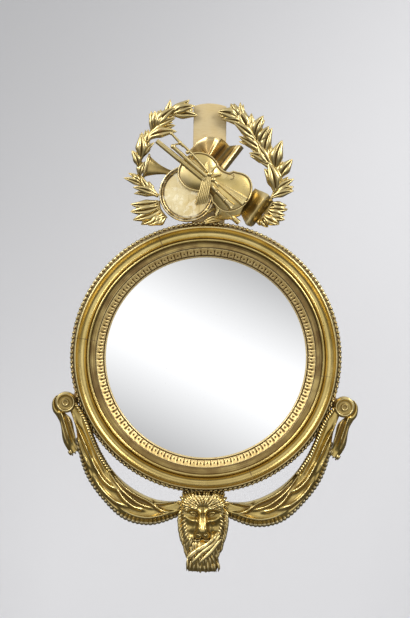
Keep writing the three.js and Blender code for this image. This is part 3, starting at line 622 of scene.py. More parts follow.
strip_inner = cove_outer + 0.3
strip_profile = [
    (strip_inner, strip_back),
    (strip_inner, strip_front - 3.6),
    (strip_inner + 0.6, strip_front - 3.0),
    (strip_outer - 2.6, strip_front - 3.6),
    (strip_outer - 1.2, strip_front - 4.8),
    (strip_outer - 1.0, strip_back),
]
strip_shells = [turned(strip_profile, 240)]
pearl_ring = strip_outer - pearl_radius
for i in range(pearl_count):
    turn = 2 * math.pi * i / pearl_count
    middle = (pearl_ring * math.sin(turn), strip_front - pearl_radius + 0.4, pearl_ring * math.cos(turn))
    strip_shells.append(ball(middle, pearl_radius))
make_piece("bead_strip_pearls", "bead_strip", strip_shells, [bead_gold], crease=60)


# ---------- Mirror glass ----------
# One round plate of blown glass, bent outwards and silvered behind. The silvering is
# clean in front and covered with grey paint at the back.

glass_low, glass_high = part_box("mirror_glass")
glass_radius = glass_high.x * 1000
glass_front = -glass_low.y * 1000
glass_thickness = 4
glass_rim = -glass_high.y * 1000 + glass_thickness
dome = (glass_radius**2 + (glass_front - glass_rim) ** 2) / (2 * (glass_front - glass_rim))


def dome_profile(offset):
    radii = np.linspace(0, glass_radius, 40)
    return [(r, glass_front - offset - dome + math.sqrt(dome**2 - r**2)) for r in radii]


silver = Finish(bpy.data.materials.new("silvered_glass"))
place = silver.place()
haze = silver.noise(place, 7, 4)
foxing = silver.noise(place, 260, 2).ramp(0.73, 0.8)
silvering = silver.mix(foxing * 0.35, (0.955, 0.962, 0.965), (0.55, 0.54, 0.52))
dullness = 0.012 + haze.ramp(0.5, 0.8) * 0.02 + foxing * 0.15
silver.output(silver.surface(silvering, dullness, metallic=1.0))
grey_back = Finish(bpy.data.materials.new("silvering_paint"))
blot = grey_back.noise(grey_back.place(), 22, 6)
blotted = grey_back.mix(blot, (0.16, 0.16, 0.15), (0.30, 0.29, 0.27))
grey_back.output(grey_back.surface(blotted, 0.7))
glass_profile = dome_profile(0) + dome_profile(glass_thickness)[::-1]
make_piece(
    "convex_glass",
    "mirror_glass",
    [turned(glass_profile, 128, closed=False)],
    [silver.owner, grey_back.owner],
    crease=40,
    side_of=lambda centre, normal: 1 if normal.y > 0.2 else 0,
)


# ---------- Crest board ----------
# A plain sawn board with an arched top, thinly gilt in front. It carries the whole
# cresting and its back rests on the wall.

def inset(outline, distance):
    """The outline moved inwards; its points run anticlockwise as seen from the front."""
    ahead = np.roll(outline, -1, 0) - np.roll(outline, 1, 0)
    ahead = ahead / np.linalg.norm(ahead, axis=1)[:, None]
    return outline + distance * np.column_stack([-ahead[:, 1], ahead[:, 0]])


def plaque(outline, levels):
    """Flat body from an outline and levels of (distance inwards, out from the wall)."""
    outline = np.asarray(outline, float)
    count = len(outline)
    points = []
    for distance, out in levels:
        ring = inset(outline, distance)
        points.append(np.column_stack([ring[:, 0], np.full(count, out), ring[:, 1]]))
    return closed_rows(np.vstack(points), len(levels), count)


def node_middle(node):
    low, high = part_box(node)
    return ((low.x + high.x) * 500, ((low.z + high.z) / 2 - ring_centre.z) * 1000)


def node_depth(node):
    low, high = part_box(node)
    return -high.y * 1000, -low.y * 1000


def bored(shell, screws):
    """The shell with a round sinking in its back for the head of each named screw."""
    radius = 4.9
    shells = [shell]
    for screw in screws:
        floor = node_depth(screw)[0] + 2.6
        sinking = [(0, -2), (radius, -2), (radius, floor), (0, floor)]
        shells.append(turned(sinking, 28, node_middle(screw), closed=False))
    solids = []
    for points, faces in shells:
        mesh = bpy.data.meshes.new("blank")
        mesh.from_pydata(np.asarray(points).tolist(), [], faces)
        work = bmesh.new()
        work.from_mesh(mesh)
        bmesh.ops.remove_doubles(work, verts=work.verts, dist=0.0001)
        bmesh.ops.recalc_face_normals(work, faces=work.faces)
        work.to_mesh(mesh)
        work.free()
        solid = bpy.data.objects.new("blank", mesh)
        bpy.context.scene.collection.objects.link(solid)
        solids.append(solid)
    for pin in solids[1:]:
        cut = solids[0].modifiers.new("bore", "BOOLEAN")
        cut.operation = "DIFFERENCE"
        cut.solver = "EXACT"
        cut.object = pin
    graph = bpy.context.evaluated_depsgraph_get()
    done = bpy.data.meshes.new_from_object(solids[0].evaluated_get(graph))
    points = [tuple(point.co) for point in done.vertices]
    faces = [tuple(face.vertices) for face in done.polygons]
    for mesh in [solid.data for solid in solids] + [done]:
        bpy.data.meshes.remove(mesh)
    return points, faces


def matt_gilding(name):
    """Thin gilding straight on the sawn board, with its saw marks showing across."""
    gold = Finish(bpy.data.materials.new(name))
    marks = gold.noise(gold.place((60.0, 60.0, 620.0)), 1, 3)
    cloud = gold.noise(gold.place(), 24, 5)
    tone = gold.mix(cloud.ramp(0.35, 0.65), (0.98, 0.88, 0.42), (1.0, 0.94, 0.52))
    lined = gold.mix(marks.ramp(0.5, 0.68) * 0.35, tone, (0.66, 0.55, 0.22))
    relief = Number(gold.node("Attribute", {"attribute_name": "relief"}).outputs["Fac"])
    edged = gold.mix(relief.ramp(0.05, 0.2) * 0.6, lined, (0.30, 0.14, 0.06))
    metal = 0.12 + (cloud - 0.5) * 0.2
    bump = gold.bump(0.5, 0.0005, marks)
    return gold.output(gold.surface(edged, 0.5 + (marks - 0.5) * 0.3, metallic=metal, normal=bump))


board_low, board_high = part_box("crest_board")
board_half = board_high.x * 1000
board_front = -board_low.y * 1000
board_bottom = (board_low.z - ring_centre.z) * 1000
board_top = (board_high.z - ring_centre.z) * 1000
arch = 6
board_outline = [(-board_half, board_bottom), (board_half, board_bottom)]
for share in np.linspace(-1, 1, 17):
    board_outline.append((-board_half * share, board_top - arch * share**2))
board_outline = np.vstack(
    [
        board_outline[0],
        np.linspace(board_outline[0], board_outline[1], 12, endpoint=False)[1:],
        np.linspace(board_outline[1], board_outline[2], 40, endpoint=False),
        board_outline[2:-1],
        np.linspace(board_outline[-1], board_outline[0], 40, endpoint=False),
    ]
)
board_levels = [(1.0, 0), (0, 1.0), (0, board_front - 1.6), (0.5, board_front - 0.5), (1.6, board_front)]
board_blank = plaque(board_outline, board_levels)
make_piece(
    "crest_board_gilt",
    "crest_board",
    [bored(board_blank, ["crest_board_screw_1", "crest_board_screw_2"])],
    [matt_gilding("board_gilding"), pine],
    side_of=facing_wall,
)


# ---------- Trophy block ----------
# The lump of lime wood left behind the instruments, glued to the board, with three
# small leaves carved at its foot.

carving_back = ring_back
carving_front = carving_back + 17.7
crest_foot = strip_outer  # the cresting is measured up from the ring's top


def on_crest(points):
    """Points measured up from the ring's top, moved to the ring's centre."""
    points = np.array(points, float)
    points[:, -1 if points.shape[1] == 2 else 2] += crest_foot
    return points


def from_photo(points):
    """Points read off the photograph, which shows the mirror turned a little."""
    cosine, sine = math.cos(camera_roll), math.sin(camera_roll)
    places = []
    for across, down in points:
        x, z = (across - 205.57) * pixel * 1000, (356.4 - down) * pixel * 1000
        places.append((x * cosine - z * sine, z * cosine + x * sine))
    return places


def unit(vectors):
    return vectors / np.maximum(np.linalg.norm(vectors, axis=-1, keepdims=True), 1e-9)


def closed_sheet(front, back, rows, columns):
    """Shell from a front and a back grid, joined round their rim."""
    faces = grid_faces(rows, columns)
    start = rows * columns
    faces += [tuple(start + corner for corner in reversed(face)) for face in grid_faces(rows, columns)]
    rim = list(range(columns))
    rim += [i * columns + columns - 1 for i in range(1, rows)]
    rim += [(rows - 1) * columns + i for i in range(columns - 2, -1, -1)]
    rim += [i * columns for i in range(rows - 2, 0, -1)]
    for one, two in zip(rim, rim[1:] + rim[:1]):
        faces.append((one, start + one, start + two, two))
    return np.vstack([front, back]), faces


def tube(path, sides=12, steps=0, flat=1.0):
    """Round bar through stations of (x, out, z, radius)."""
    line = curve_through(path, steps or 6 * len(path))
    centre = line[:, :3]
    radius = np.maximum(line[:, 3], 0.05)
    ahead = unit(np.gradient(centre, axis=0))
    side = unit(np.cross(ahead, (0, 1, 0)))
    lift = np.cross(side, ahead)
    turns = np.linspace(0, 2 * math.pi, sides, endpoint=False)
    cosine, sine = np.cos(turns)[None, :, None], np.sin(turns)[None, :, None]
    spoke = cosine * side[:, None] + flat * sine * lift[:, None]
    points = (centre[:, None] + radius[:, None, None] * spoke).reshape(-1, 3)
    return closed_rows(points, len(line), sides)


def blade(root, tip, width, out, rise, bend=0.0, droop=0.0):
    """Carved leaf: two rounded halves that meet in a sunk midrib."""
    rows, columns = 15, 11
    root, tip = np.array(root, float), np.array(tip, float)
    reach = tip - root
    length = np.linalg.norm(reach)
    across_way = np.array([-reach[1], reach[0]]) / length
    front, back = [], []
    for u in np.linspace(0, 1, rows):
        swell = min(1, (1 - u) * 1.9) ** 0.7 * min(1, 0.42 + 1.5 * u) ** 1.2 if u < 1 else 0
        half = width / 2 * max(swell, 0.03)
        middle = root + reach * u + across_way * bend * length * u * (1 - u) * 4
        level = out + rise * u - droop * u**3 + 0.14 * width * math.sin(math.pi * u)
        for v in np.linspace(-1, 1, columns):
            side = abs(v)
            hump = 0.34 * half * (1 - (1.6 * side - 0.6) ** 2)
            midrib = 0.22 * half * max(0, 1 - side / 0.25)
            x, z = middle + across_way * half * v
            front.append((x, level + hump - midrib, z))
            back.append((x, level - 1.4 - 0.1 * half * (1 - side), z))
    return closed_sheet(front, back, rows, columns)


carved_gold = gilding("carved_gilding", warm_gold, deep_gold, wear=0.45, rough=0.36)
leaf_gold = gilding("leaf_gilding", (0.55, 0.41, 0.14), (0.35, 0.25, 0.075), wear=0.3, rough=0.32)


def divided(corners, steps):
    """Closed outline with its straight sides cut into steps."""
    sides = zip(corners, np.roll(corners, -1, 0))
    return np.vstack([np.linspace(start, end, steps, endpoint=False) for start, end in sides])


block_outline = divided(on_crest([(12, 2), (40, 4), (64, 12), (84, 62), (50, 84), (12, 70)]), 14)
block_shells = [plaque(block_outline, [(0, carving_back), (0, carving_front - 9), (3, carving_front - 6)])]
for ends in [((204, 221), (222, 215.5)), ((205, 222.5), (221, 219.5)), ((203, 213), (215, 208))]:
    root, tip = from_photo(ends)
    block_shells.append(blade(root, tip, 9, carving_front - 5, 3, bend=0.06))
make_piece("trophy_block_carved", "trophy_block", block_shells, [carved_gold])


# ---------- Tambourine ----------
# A double hoop with a sunk skin, turned and carved from one disc. Its skin is rubbed
# almost to the white ground in patches, which also carry painted highlight.

tambourine_radius = 56
tambourine_centre = (-43, 53.8 + crest_foot)


def rubbed_and_highlit_skin(gold, where, tint, metal, roughness):
    """Pale patches, partly leaf rubbed through to the pale ground and partly painted highlight, with fine
    scratches across.
    """
    bare_and_highlight = gold.noise(where, 90, 8).ramp(0.49, 0.60)
    scratch = gold.noise(gold.place((240.0, 60.0, 30.0)), 1, 5).ramp(0.56, 0.68)
    darker = gold.mix(scratch * 0.35, tint, (0.50, 0.36, 0.12))
    # Pale patches: worn through to the ground, and painted highlight.
    pale = gold.mix(bare_and_highlight * 0.5, darker, (0.98, 0.90, 0.66))
    return pale, metal * (1 - bare_and_highlight * 0.25), roughness + scratch * 0.1 - bare_and_highlight * 0.1


worn_and_highlit_gold = gilding(
    "worn_and_highlit_gilding", (0.93, 0.80, 0.48), (0.78, 0.60, 0.27), wear=0.1, rough=0.3, extra=rubbed_and_highlit_skin
)
hoop = tambourine_radius
skin_radius = hoop - 11
tambourine_profile = [
    (0, carving_back),
    (hoop, carving_back),
    (hoop + 0.1, carving_front - 7),
    (hoop - 0.1, carving_front - 2.2),
    (hoop - 1.0, carving_front - 0.5),
    (hoop - 2.4, carving_front - 0.4),
    (hoop - 3.4, carving_front - 1.8),
    (hoop - 4.0, carving_front - 4.6),
    (hoop - 4.8, carving_front - 4.6),
    (hoop - 5.4, carving_front - 2.2),
    (hoop - 6.4, carving_front - 1.4),
    (hoop - 7.6, carving_front - 2.2),
    (hoop - 8.2, carving_front - 4.8),
    (hoop - 9.4, carving_front - 5.2),
    *[(r, carving_front - 5.2 + 2.6 * (1 - (r / 47) ** 2)) for r in np.linspace(skin_radius, 0, 12)],
]
make_piece(
    "tambourine_hoops",
    "tambourine",
    [turned(tambourine_profile, 128, tambourine_centre, closed=False)],
    [worn_and_highlit_gold],
    crease=60,
)


# ---------- Violin body ----------
# Carved in full, with ribs, an edge bead and an arched belly. One sound hole is a dark
# strip on the belly, painted shade where the cut would be. It lies aslant over the
# tambourine and the block.

violin_head = np.array([-50, 121 + crest_foot])
violin_tilt = math.radians(-34.4)
violin_length = 152
violin_back = carving_front + 0.3
violin_front = violin_back + 19
u_way = np.array([math.cos(violin_tilt), math.sin(violin_tilt)])
v_way = np.array([-u_way[1], u_way[0]])


def on_violin(u, v):
    return violin_head + u * u_way + v * v_way


upper_bout = [(0.0, 0), (0.0, 8), (0.012, 16), (0.05, 27), (0.11, 34.5)]
upper_bout += [(0.2, 39.5), (0.29, 39.5), (0.365, 36), (0.395, 34.5)]
waist = [(0.395, 34.5), (0.42, 31.0), (0.47, 28.6), (0.53, 28.4), (0.58, 31), (0.612, 37.5)]
lower_bout = [(0.612, 37.5), (0.66, 39.5), (0.74, 43), (0.83, 42), (0.91, 34)]
lower_bout += [(0.965, 23), (0.995, 10), (1.0, 0)]
half_line = np.vstack(
    [curve_through(upper_bout, 26)[:-1], curve_through(waist, 26)[:-1], curve_through(lower_bout, 26)]
)
violin_line = np.vstack([half_line, (half_line * (1, -1))[-2:0:-1]]) * (violin_length, 1)


def violin_ring(shrink, out):
    """The outline drawn in by a distance, then shrunk towards the middle line."""
    distance, share = shrink
    ring = inset(violin_line[::-1], distance)[::-1]
    middle = violin_length / 2
    along = middle + (ring[:, 0] - middle) * (0.35 + 0.65 * share)
    ring = np.column_stack([along, ring[:, 1] * share - 7 + 0.08 * along])
    place = violin_head + ring[:, :1] * u_way + ring[:, 1:] * v_way
    return np.column_stack([place[:, 0], np.full(len(place), out), place[:, 1]])


belly_edge = violin_front - 4.6
violin_levels = [
    ((1.5, 1), violin_back),
    ((1.5, 1), belly_edge - 3.4),
    ((0.3, 1), belly_edge - 3.0),
    ((0, 1), belly_edge - 1.8),
    ((0.5, 1), belly_edge - 0.4),
    ((1.6, 1), belly_edge),
    ((2.6, 1), belly_edge - 0.5),
    ((3.5, 1), belly_edge - 1.5),
    ((4.6, 1), belly_edge - 1.4),
]
for share in np.linspace(0.96, 0.06, 14):
    violin_levels.append(((4.6, share), belly_edge - 1.4 + 7.2 * (1 - share**2.2)))
violin_rings = [violin_ring(shrink, out) for shrink, out in violin_levels]
violin_gold = gilding("violin_gilding", pale_gold, warm_gold, wear=0.2, rough=0.3)
violin_shells = [closed_rows(np.vstack(violin_rings), len(violin_rings), len(violin_line))]
# The sound hole: a dark tube laid on the belly, painted shade where the hole would be.
sound_hole = from_photo([(228.6, 174.6), (231.4, 173.8), (233.6, 176), (232.6, 179), (229.8, 179.8)])
hole_path = [(x, belly_edge + 3.9, z, r) for (x, z), r in zip(sound_hole, (1.5, 0.8, 0.9, 0.8, 1.3))]
violin_shells.append((*tube(hole_path, sides=8, steps=20), 1))
hole_shade_gold = gilding("hole_shade_gilding", (0.22, 0.14, 0.045), (0.12, 0.07, 0.02), wear=0.2, rough=0.5)
make_piece("violin_carved_body", "violin_body", violin_shells, [violin_gold, hole_shade_gold])


# ---------- Violin neck ----------
# Neck, fingerboard and peg box in one, with a plain rod carved alongside.

on_violin_level = violin_front + 0.3


def straight_bar(start, end, half, back, front):
    """Bar with rounded upper edges between two points; half widths at both ends."""
    steps = 16
    side_edge = [(1, 0), (1, 0.65), (0.86, 0.895), (0.6, 1)]
    corners = [(-across, height) for across, height in side_edge] + [(0, 1.02)] + side_edge[::-1]
    start, end = np.asarray(start, float), np.asarray(end, float)
    way = unit(end - start)
    side = np.array([-way[1], way[0]])
    points = []
    for share in np.linspace(0, 1, steps):
        wide = half[0] + (half[1] - half[0]) * share
        middle = start + (end - start) * share
        for across, height in corners:
            x, z = middle + side * wide * across
            points.append((x, back + (front - back) * height, z))
    return closed_rows(np.array(points), steps, len(corners))


neck_start, neck_middle, neck_end = from_photo([(157, 142), (178, 159.5), (204, 180.5)])
neck_shells = [
    straight_bar(neck_start, neck_end, (4.6, 5.6), on_violin_level - 4, on_violin_level + 5),
    straight_bar(neck_middle, neck_end, (2.6, 3.6), on_violin_level + 4.5, on_violin_level + 7.6),
]
rod_line = from_photo([(173.5, 148), (190, 163), (206, 177)])
rod_path = [(x, on_violin_level + 3.4, z, r) for (x, z), r in zip(rod_line, (4.0, 4.4, 4.6))]
neck_shells.append(tube(rod_path, sides=14, steps=24))
[rod_mouth] = from_photo([(173.2, 147.7)])
neck_shells.append(ball((rod_mouth[0], on_violin_level + 3.4, rod_mouth[1]), 5.2, 14, 10, (1, 0.9, 1)))
make_piece("violin_carved_neck", "violin_neck", neck_shells, [leaf_gold])


# ---------- Violin tailpiece ----------
# The wedge that holds the strings at the tail, with the strings carved over the belly:
# one gilt slip of wood, glued on.

tail_back, tail_top = on_violin_level - 2.6, on_violin_level + 3.6
tail_shells = [straight_bar(on_violin(76, 0), on_violin(147, 0), (3.0, 10.5), tail_back, tail_top)]
string_level = on_violin_level + 3.7
for k in range(4):
    x0, z0 = on_violin(77, -1.8 + 1.2 * k)
    x1, z1 = on_violin(142, -6 + 4 * k)
    tail_shells.append(tube([(x0, string_level, z0, 0.55), (x1, string_level, z1, 0.8)], sides=6, steps=6))
x, z = on_violin(148, 0)
tail_shells.append(ball((x, on_violin_level + 0.4, z), 3.4, 12, 8))
make_piece("violin_carved_tailpiece", "violin_tailpiece", tail_shells, [violin_gold])


# ---------- Bow ----------
# The end of the bow, a thin gilt rod glued above the neck, with turned rings and a
# small frog.

bow_line = from_photo([(170.5, 133.8), (179.6, 143.4), (187, 150.2), (196, 159.5), (207, 172)])
bow_path = [(x, on_violin_level + 5, z, r) for (x, z), r in zip(bow_line, (2.2, 2.8, 2.6, 2.8, 3.0))]
frog_line = from_photo([(173.5, 148), (176, 145.5), (180.5, 145.5), (183, 148)])
frog_path = [(x, on_violin_level + 3, z, 1.8) for x, z in frog_line]
bow_shells = [tube(bow_path, sides=14, steps=40), tube(frog_path, sides=10, steps=16)]
bow_rings = from_photo([(171.5, 135), (180, 144), (187.5, 153.5), (190.5, 156.5)])
for (x, z), size in zip(bow_rings, (3.6, 4.0, 4.0, 3.4)):
    bow_shells.append(ball((x, on_violin_level + 4.4, z), size, 14, 8))
make_piece("bow_rod", "violin_bow", bow_shells, [leaf_gold])


# ---------- Oboe ----------
# A slender tube with turned rings, in darker gilding, glued over the violin's
# belly.

oboe_stations = [(6, 66, 4.4), (14, 58, 4.4), (16, 56, 5.4), (18, 54, 4.6), (30, 42, 5.2)]
oboe_stations += [(32, 40, 6.4), (34, 38, 5.4), (42, 30, 6.4), (47, 25, 8.4)]
oboe_path = [(x, on_violin_level + 3.6, z + crest_foot, radius) for x, z, radius in oboe_stations]
dark_gold = gilding("dark_gilding", (0.52, 0.39, 0.15), (0.32, 0.225, 0.08), wear=0.2, rough=0.3)
make_piece("oboe_tube", "oboe", [tube(oboe_path, sides=20, steps=60)], [dark_gold])


# ---------- Flute ----------
# A straight tube with a turned end, gilt wood too, that comes out below the violin and
# is glued to the block.

flute_stations = [(14.5, 34, 5.0), (30, 22, 5.0), (44, 11.5, 5.0), (47, 9, 6.0)]
flute_stations += [(50, 7, 5.0), (59, 0, 5.6), (62, -2.4, 5.2)]
flute_path = [(x, carving_back + 7, z + crest_foot, radius) for x, z, radius in flute_stations]
make_piece("flute_tube", "flute", [tube(flute_path, sides=20, steps=48)], [leaf_gold])


# ---------- Trumpet ----------
# Turned in wood and flattened behind. Its bell points left, out past the leaves; the
# mouth is hollowed and has a thick rim.

trumpet_mouth = np.array([-127, 108 + crest_foot])
trumpet_far = np.array([-68, 93 + crest_foot])
trumpet_way = unit(trumpet_far - trumpet_mouth)
trumpet_side = np.array([-trumpet_way[1], trumpet_way[0]])
trumpet_reach = np.linalg.norm(trumpet_far - trumpet_mouth)
trumpet_stations = [(0.10, 5), (0.06, 14), (0.015, 20), (0.0, 23)]
trumpet_stations += [(-0.012, 25), (0.006, 26.4), (0.045, 25.6), (0.06, 23.4)]
trumpet_stations += [(t, 4.8 + 19.0 * (1 - t) ** 2.1) for t in np.linspace(0.08, 1, 22)]
trumpet_points = []
trumpet_sides = 40
for t, radius in trumpet_stations:
    for turn in np.linspace(0, 2 * math.pi, trumpet_sides, endpoint=False):
        x, z = trumpet_mouth + trumpet_way * trumpet_reach * t + trumpet_side * radius * math.cos(turn)
        trumpet_points.append((x, carving_back + 9.4 + 0.37 * radius * math.sin(turn), z))
trumpet_shell = closed_rows(trumpet_points, len(trumpet_stations), trumpet_sides)
make_piece("trumpet_bell", "trumpet", [trumpet_shell], [dark_gold])


# ---------- Upper music sheets ----------
# Loose leaves of music behind the violin, carved in wood as one waving sheet with sharp
# creases.

def sheet_shell(creases, back, sharp=0.6):
    """Closed shell whose front waves through creases of (top point, bottom point, out)."""
    samples, rows = 8, 16
    stations = []
    for (top, low), out in creases:
        (x0, z0), (x1, z1) = from_photo([top, low])
        stations.append((x0, z0, x1, z1, out))
    stations = np.array(stations, float)
    count = samples * (len(stations) - 1) + 1
    smooth = curve_through(stations, count)
    share = np.linspace(0, len(stations) - 1, count)
    numbers = range(len(stations))
    plain = np.column_stack([np.interp(share, numbers, column) for column in stations.T])
    line = sharp * plain + (1 - sharp) * smooth
    front, rear = [], []
    for k in np.linspace(0, 1, rows):
        x = line[:, 0] + (line[:, 2] - line[:, 0]) * k
        z = line[:, 1] + (line[:, 3] - line[:, 1]) * k
        rounded = 1 - 0.06 * (2 * k - 1) ** 8
        front.append(np.column_stack([x, back + (line[:, 4] - back) * rounded, z]))
        rear.append(np.column_stack([x, np.full(count, back), z]))
    return closed_sheet(np.vstack(front), np.vstack(rear), rows, count)


sheet_creases = [
    (((189, 149.5), (196, 160)), carving_back + 6),
    (((197, 141.5), (204, 156)), carving_back + 12),
    (((207, 136.3), (206.5, 157)), carving_back + 18),
    (((215, 136.8), (206.5, 158)), carving_back + 19),
    (((221, 138.6), (207, 159)), carving_back + 24),
    (((226.5, 142), (208.5, 163)), carving_back + 8),
    (((229, 145.6), (211.5, 167)), carving_back + 21),
    (((236, 144.6), (216, 170)), carving_back + 12),
    (((240.5, 144.8), (221, 172)), carving_back + 17),
    (((243.5, 147), (224, 172)), carving_back + 5),
]
make_piece(
    "sheet_leaves_upper",
    "music_sheet_upper",
    [sheet_shell(sheet_creases, carving_back)],
    [gilding("sheet_gilding", (0.66, 0.50, 0.22), (0.46, 0.31, 0.12), wear=0.4, rough=0.3)],
    crease=35,
)


# ---------- Lower music booklet ----------
# A half-open booklet of music at the right, carved in wood, its spine standing up as a
# bright ridge.

booklet_creases = [
    (((254.6, 187.4), (238.5, 209.5)), carving_back + 8),
    (((260.5, 190.2), (242, 216)), carving_back + 15),
    (((266.8, 193.6), (245.2, 222.6)), carving_back + 26),
    (((268.4, 195.0), (247, 224.4)), carving_back + 25),
    (((270.2, 197.0), (251, 225.5)), carving_back + 13),
    (((273.2, 200.5), (253.5, 224.5)), carving_back + 6),
]
make_piece(
    "booklet_lower",
    "music_sheet_lower",
    [sheet_shell(booklet_creases, carving_back, sharp=0.85)],
    [dark_gold],
    crease=35,
)


# ---------- Ribbon ----------
# The band that ties the instruments, carved as six parallel cords with a knot above
# them and four short loops.

ribbon_shells = []
ribbon_line = from_photo([(208.5, 171), (207.2, 177), (205.8, 184), (204.3, 191), (202.6, 198), (201, 204)])
for k in range(6):
    path = []
    for i, (x, z) in enumerate(ribbon_line):
        shift = (k - 2.5) * (2.5, 2.7, 3.3, 3.7, 3.9, 3.8)[i]
        level = on_violin_level + (2.6, 3.2, 3.0, 2.4, 1.2, -1.5)[i]
        path.append((x + shift, level, z + 0.25 * shift, 2.0))
    ribbon_shells.append(tube(path, sides=10, steps=30))
knots = zip(from_photo([(209.5, 175), (213.2, 180.5), (206, 172)]), (5.5, 5.0, 4.2))
for (x, z), size in knots:
    ribbon_shells.append(ball((x, on_violin_level + 4, z), size, 18, 10, (1, 0.75, 1)))
loops = [
    [(209, 174), (213, 169.5), (217, 166.5)],
    [(206.5, 172), (206, 166), (208, 161)],
    [(212, 181), (216, 184), (218, 188)],
    [(211, 178), (216, 176), (221, 175)],
]
for loop in loops:
    line = from_photo(loop)
    path = [(x, on_violin_level + 3.4 - k, z, (3.2, 2.8, 1.6)[k]) for k, (x, z) in enumerate(line)]
    ribbon_shells.append(tube(path, sides=10, steps=14))
make_piece("ribbon_cords", "trophy_ribbon", ribbon_shells, [carved_gold])


# ---------- Laurel branches ----------
# Each branch is carved from one piece of lime wood: a bent stem with leaves in layers.
# It is glued to the instruments and to the board, and so are the sprays at its foot.

def stem_point(stem, share):
    """Place and heading on the stem; share runs 0 to 1 along its length."""
    line = curve_through(stem, 200)
    steps = np.linalg.norm(np.diff(line, axis=0), axis=1)
    run = np.concatenate([[0], np.cumsum(steps)])

    def place(share):
        return np.array([np.interp(share * run[-1], run, line[:, k]) for k in range(2)])

    return place(share), unit(place(min(share + 0.01, 1)) - place(max(share - 0.01, 0)))


def turned_way(way, degrees):
    cosine, sine = math.cos(math.radians(degrees)), math.sin(math.radians(degrees))
    return np.array([way[0] * cosine - way[1] * sine, way[0] * sine + way[1] * cosine])


def branch_shells(stem, leaves, seed, fill=0):
    """Stem with leaves of (share along it, length, degrees off it, width), and with
    smaller leaves half hidden below them."""
    radius, swell = 4.0, 1.7
    chance = random.Random(seed)
    stem = on_crest(stem)
    rod = curve_through(stem, 12)
    thickness = np.linspace(radius, radius * 0.55, 12)
    path = [(x, carving_back + 4.5, z, r) for (x, z), r in zip(rod, thickness)]
    shells = [tube(path, sides=12, steps=60)]
    hidden = []
    for k in range(1, fill):
        aside = 30 * (-1) ** k + chance.uniform(-6, 6)
        hidden.append((k / fill, 34 + 4 * (k % 3), aside, 8))
    for share, length, degrees, width in hidden + leaves:
        upper = (0, 1.0, 1.0, chance.uniform(5, 9))
        lower = (chance.choice((-13, 13)), 0.84, 0.9, chance.uniform(0.5, 3.5))
        for turn, longer, wider, level in (upper, lower):
            root, way = stem_point(stem, min(1, max(0, share + 0.02 * (longer < 1))))
            tip = root + turned_way(way, degrees + turn) * length * longer
            out = carving_back + 2.5 + level
            rise = chance.uniform(1, 6)
            bend = 0.06 * (1 if degrees < 0 else -1) + chance.uniform(-0.03, 0.03)
            droop = chance.uniform(0, 5)
            shells.append(blade(root, tip, width * swell * wider, out, rise, bend, droop))
    return shells


left_stem = [(-100, 49), (-123, 60), (-139, 82), (-139, 111)]
left_stem += [(-131, 145), (-116, 177), (-92, 206), (-76, 214)]
left_leaves = [
    (0.01, 52, 7, 10), (0.02, 33, -24, 8), (0.06, 26, -48, 9), (0.22, 24, 26, 7),
    (0.37, 35, 29, 10), (0.45, 49, 11, 15), (0.44, 40, -14, 9), (0.58, 34, 9, 8),
    (0.67, 58, -52, 13), (0.7, 54, -40, 12), (0.76, 36, 31, 10), (0.78, 38, 18, 10),
    (0.78, 55, -8, 13), (0.78, 46, -28, 10), (0.96, 52, 15, 13), (0.99, 50, -2, 12),
    (0.99, 53, -24, 13),
]
make_piece(
    "laurel_left",
    "laurel_branch_left",
    branch_shells(left_stem, left_leaves, 3, fill=11),
    [leaf_gold],
)

right_stem = [(124, 47), (143, 76), (133, 104), (117, 121), (94, 159), (81, 182), (57, 210)]
right_leaves = [
    (0.02, 46, -36, 9), (0.03, 56, -12, 12), (0.08, 62, 54, 16), (0.25, 45, -57, 14),
    (0.34, 60, -46, 16), (0.42, 47, 19, 12), (0.4, 56, -18, 12), (0.52, 58, -46, 14),
    (0.58, 54, 28, 11), (0.64, 44, -58, 12), (0.71, 56, 25, 12), (0.73, 48, -48, 13),
    (0.78, 40, -28, 11), (0.82, 52, -8, 15), (0.9, 47, 38, 10), (0.97, 48, 33, 15),
    (0.98, 34, -8, 12),
]
make_piece(
    "laurel_right",
    "laurel_branch_right",
    branch_shells(right_stem, right_leaves, 8, fill=12),
    [leaf_gold],
)

left_spray = [(-101, 39), (-97, 22), (-83, 5)]
left_spray_leaves = [
    (0.05, 56, -94, 12), (0.3, 58, -93, 14), (0.45, 58, -96, 14), (0.6, 48, -96, 13),
    (0.75, 38, -95, 13), (0.9, 31, -99, 13),
]
make_piece("spray_left", "leaf_spray_left", branch_shells(left_spray, left_spray_leaves, 5), [leaf_gold])

right_spray = [(127, 39), (115, 18), (102, 4)]
right_spray_leaves = [
    (0.02, 30, 112, 10), (0.3, 38, 117, 11), (0.4, 36, 105, 12), (0.55, 40, 106, 12),
    (0.72, 36, 105, 12), (0.85, 23, 80, 10), (0.95, 13, 43, 9),
]
make_piece(
    "spray_right",
    "leaf_spray_right",
    branch_shells(right_spray, right_spray_leaves, 6),
    [leaf_gold],
)


# ---------- Roundels ----------
# Turned discs with a dished face and a hollow button, gilt, from which the drapery
# hangs. Each is glued to the batten behind it.

